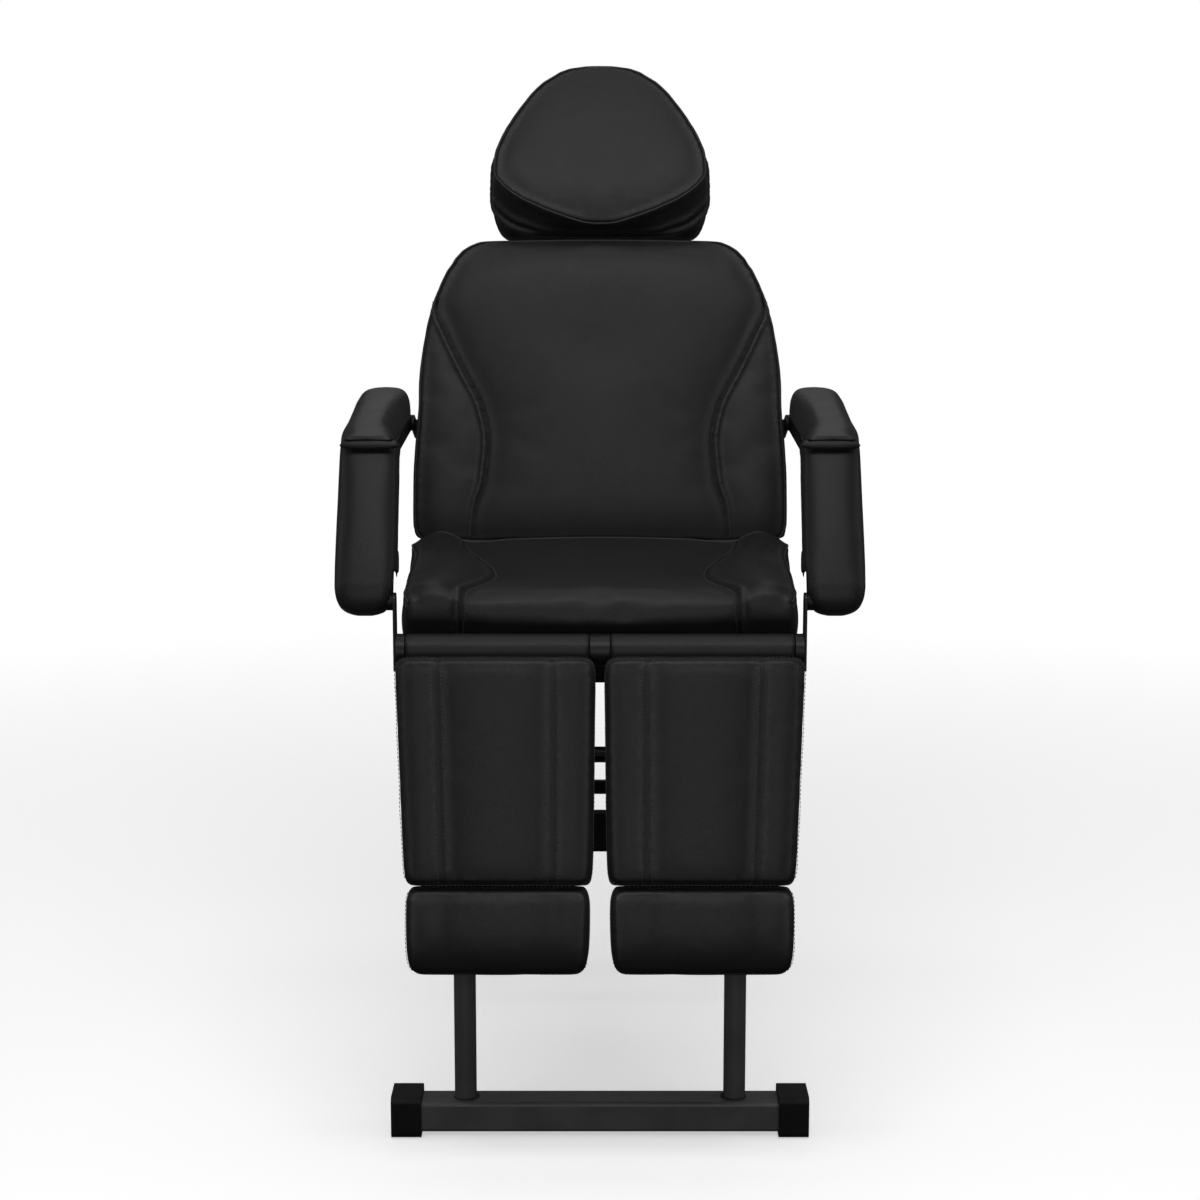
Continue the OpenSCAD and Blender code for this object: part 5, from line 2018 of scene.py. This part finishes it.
    def gland(self) -> Object:
        """Collar where the spring's rod leaves its cylinder.

        Returns:
            The collar.
        """
        foot = self.spring_foot.point(self.spring_x, 0, self.spring_body - 12)
        profile = np.array([(0, 0), (0.9, 0.8), (0.9, 9), (0.2, 10.5), (0.9, 12), (0, 14),
                            (-4, 15.5)]) + (self.spring_r, 0)
        return lathe("spring_gland", profile, foot, self.spring_foot.way(0, 0, 1))


# studio


@dataclass(frozen=True)
class Studio:
    """Pale floor, soft lights and a camera at the photograph's place."""

    camera_y: float = -3294
    camera_z: float = 1242
    tilt: float = 9.0545
    lens: float = 67.264
    sensor: float = 36.0
    glow: float = 0.05
    floor_half: float = 9000
    lamps: tuple = (
        ("top", (0.0, 0.0, 3.6), 0.7, 3.0, 2.0, 20), ("key", (0.0, -2.2, 3.6), 0.8, 3.0, 1.2, 52),
        ("front", (0.0, -4.8, 1.5), 0.8, 3.0, 1.6, 32),
        ("low", (0.0, -4.2, 0.4), 0.6, 3.0, 0.6, 5.5), ("rear", (0.0, 3.2, 3.2), 0.9, 3.0, 1.4, 12),
        ("left_fill", (-3.4, -0.2, 1.9), 0.8, 1.4, 2.2, 12),
        ("right_fill", (3.4, -0.2, 1.9), 0.8, 1.4, 2.2, 12),
    )

    def build(self) -> None:
        """Makes the camera, the lights, the world and the floor."""
        camera = bpy.data.cameras.new("view")
        camera.lens, camera.sensor_width = self.lens, self.sensor
        stand = placed("view", camera)
        stand.location = (0, self.camera_y * MM, self.camera_z * MM)
        stand.rotation_euler = (math.radians(90 - self.tilt), 0, 0)
        bpy.context.scene.camera = stand
        for lamp in self.lamps:
            self.light(*lamp)
        self.room()
        bpy.context.scene.view_settings.view_transform = "Standard"
        corners = np.array([(-1, -1, 0), (1, -1, 0), (1, 1, 0), (-1, 1, 0)]) * self.floor_half
        floor = make_object("floor", corners, [[0, 1, 2, 3]], False)
        floor.data.materials.append(Pale("pale_floor").material())
        floor.visible_diffuse = floor.visible_glossy = False

    def room(self) -> None:
        """White room: seen white, and lighting the chair only dimly."""
        world = bpy.data.worlds.new("white_room")
        world.use_nodes = True
        tree = world.node_tree
        tree.nodes.clear()
        seen = tree.nodes.new("ShaderNodeLightPath")
        mix = tree.nodes.new("ShaderNodeMixShader")
        out = tree.nodes.new("ShaderNodeOutputWorld")
        tree.links.new(seen.outputs["Is Camera Ray"], mix.inputs[0])
        for place, strength in ((1, self.glow), (2, 1.0)):
            glow = tree.nodes.new("ShaderNodeBackground")
            glow.inputs["Color"].default_value = (1, 1, 1, 1)
            glow.inputs["Strength"].default_value = strength
            tree.links.new(glow.outputs[0], mix.inputs[place])
        tree.links.new(mix.outputs[0], out.inputs["Surface"])
        bpy.context.scene.world = world

    def light(self, name: str, at: tuple, aim: float, width: float, height: float,
              power: float) -> None:
        """Soft box at a place, turned to a height over the origin, in metres and watts.

        Args:
            name: the lamp's name.
            at: its place.
            aim: height over the origin that it faces.
            width: width of the box.
            height: height of the box.
            power: in watts.
        """
        lamp = bpy.data.lights.new(name, "AREA")
        lamp.shape, lamp.size, lamp.size_y, lamp.energy = "RECTANGLE", width, height, power
        box = placed(name, lamp)
        box.location = at
        box.rotation_euler = (Vector((0, 0, aim)) - Vector(at)).to_track_quat("-Z", "Y").to_euler()


# the chair


@dataclass
class Chair:
    """Where the chair's groups stand, and the order they are dressed in."""

    recline: Pose = Pose(148, 775, 18)
    knee: Pose = Pose(-326, 700, 15)
    headrest: Pose = recline.child(92, 538, 6)
    seat_board: Pose = Pose(0, 0, 90)

    def cushions(self, frame: dict) -> list[Cushion]:
        """Every padded piece, in its plain form.


        Returns:
            The cushions, from the seat on.
        """
        made = [Seat().cushion(), Back(self.recline).cushion(),
                Headrest(self.headrest).cushion()]
        for side in Side:
            pads = LegPads(self.knee, side)
            made += [pads.calf(), pads.foot()]
            for node, name, body, cap in (("knee_roll", "knee", "leg_rest", 2.0),
                                          ("arm_pad", "arm", "arm", 4.0),
                                          ("front_pad", "front_arm", "front_arm", 4.0)):
                node, name, body = (f"{stem}_{side.word}" for stem in (node, name, body))
                made.append(sleeve(frame, node, name, body, cap))
        return made

    def hems(self) -> list[Hem]:
        """The folded and stapled edges of the boards.

        Returns:
            One hem for each board.
        """
        made = []
        x = np.array([1.0, 0.0, 0.0])
        for node, body, pose in (("back_board", "back", self.recline),
                                 ("headrest_board", "headrest", self.headrest),
                                 ("leg_board_left", "leg_rest_left", self.knee),
                                 ("leg_board_right", "leg_rest_right", self.knee),
                                 ("seat_board", "base", self.seat_board)):
            made.append(Hem(node, body, pose.way(0, 1, 0), x, pose.way(0, 0, 1)))
        return made


def main() -> None:
    """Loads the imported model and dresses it, sub-assembly by sub-assembly."""
    logging.basicConfig(level=logging.INFO, format="%(message)s")
    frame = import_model()
    finishes = Finishes()
    finishes.dress_nodes(frame)
    chair = Chair()
    cushions = chair.cushions(frame)
    swell_all(cushions)
    for cushion in cushions:
        cushion.sew(finishes)
    for hem in chair.hems():
        hem.build(frame, finishes)
    Fittings(chair.recline).build(finishes)
    Studio().build()


if __name__ == "__main__":
    main()
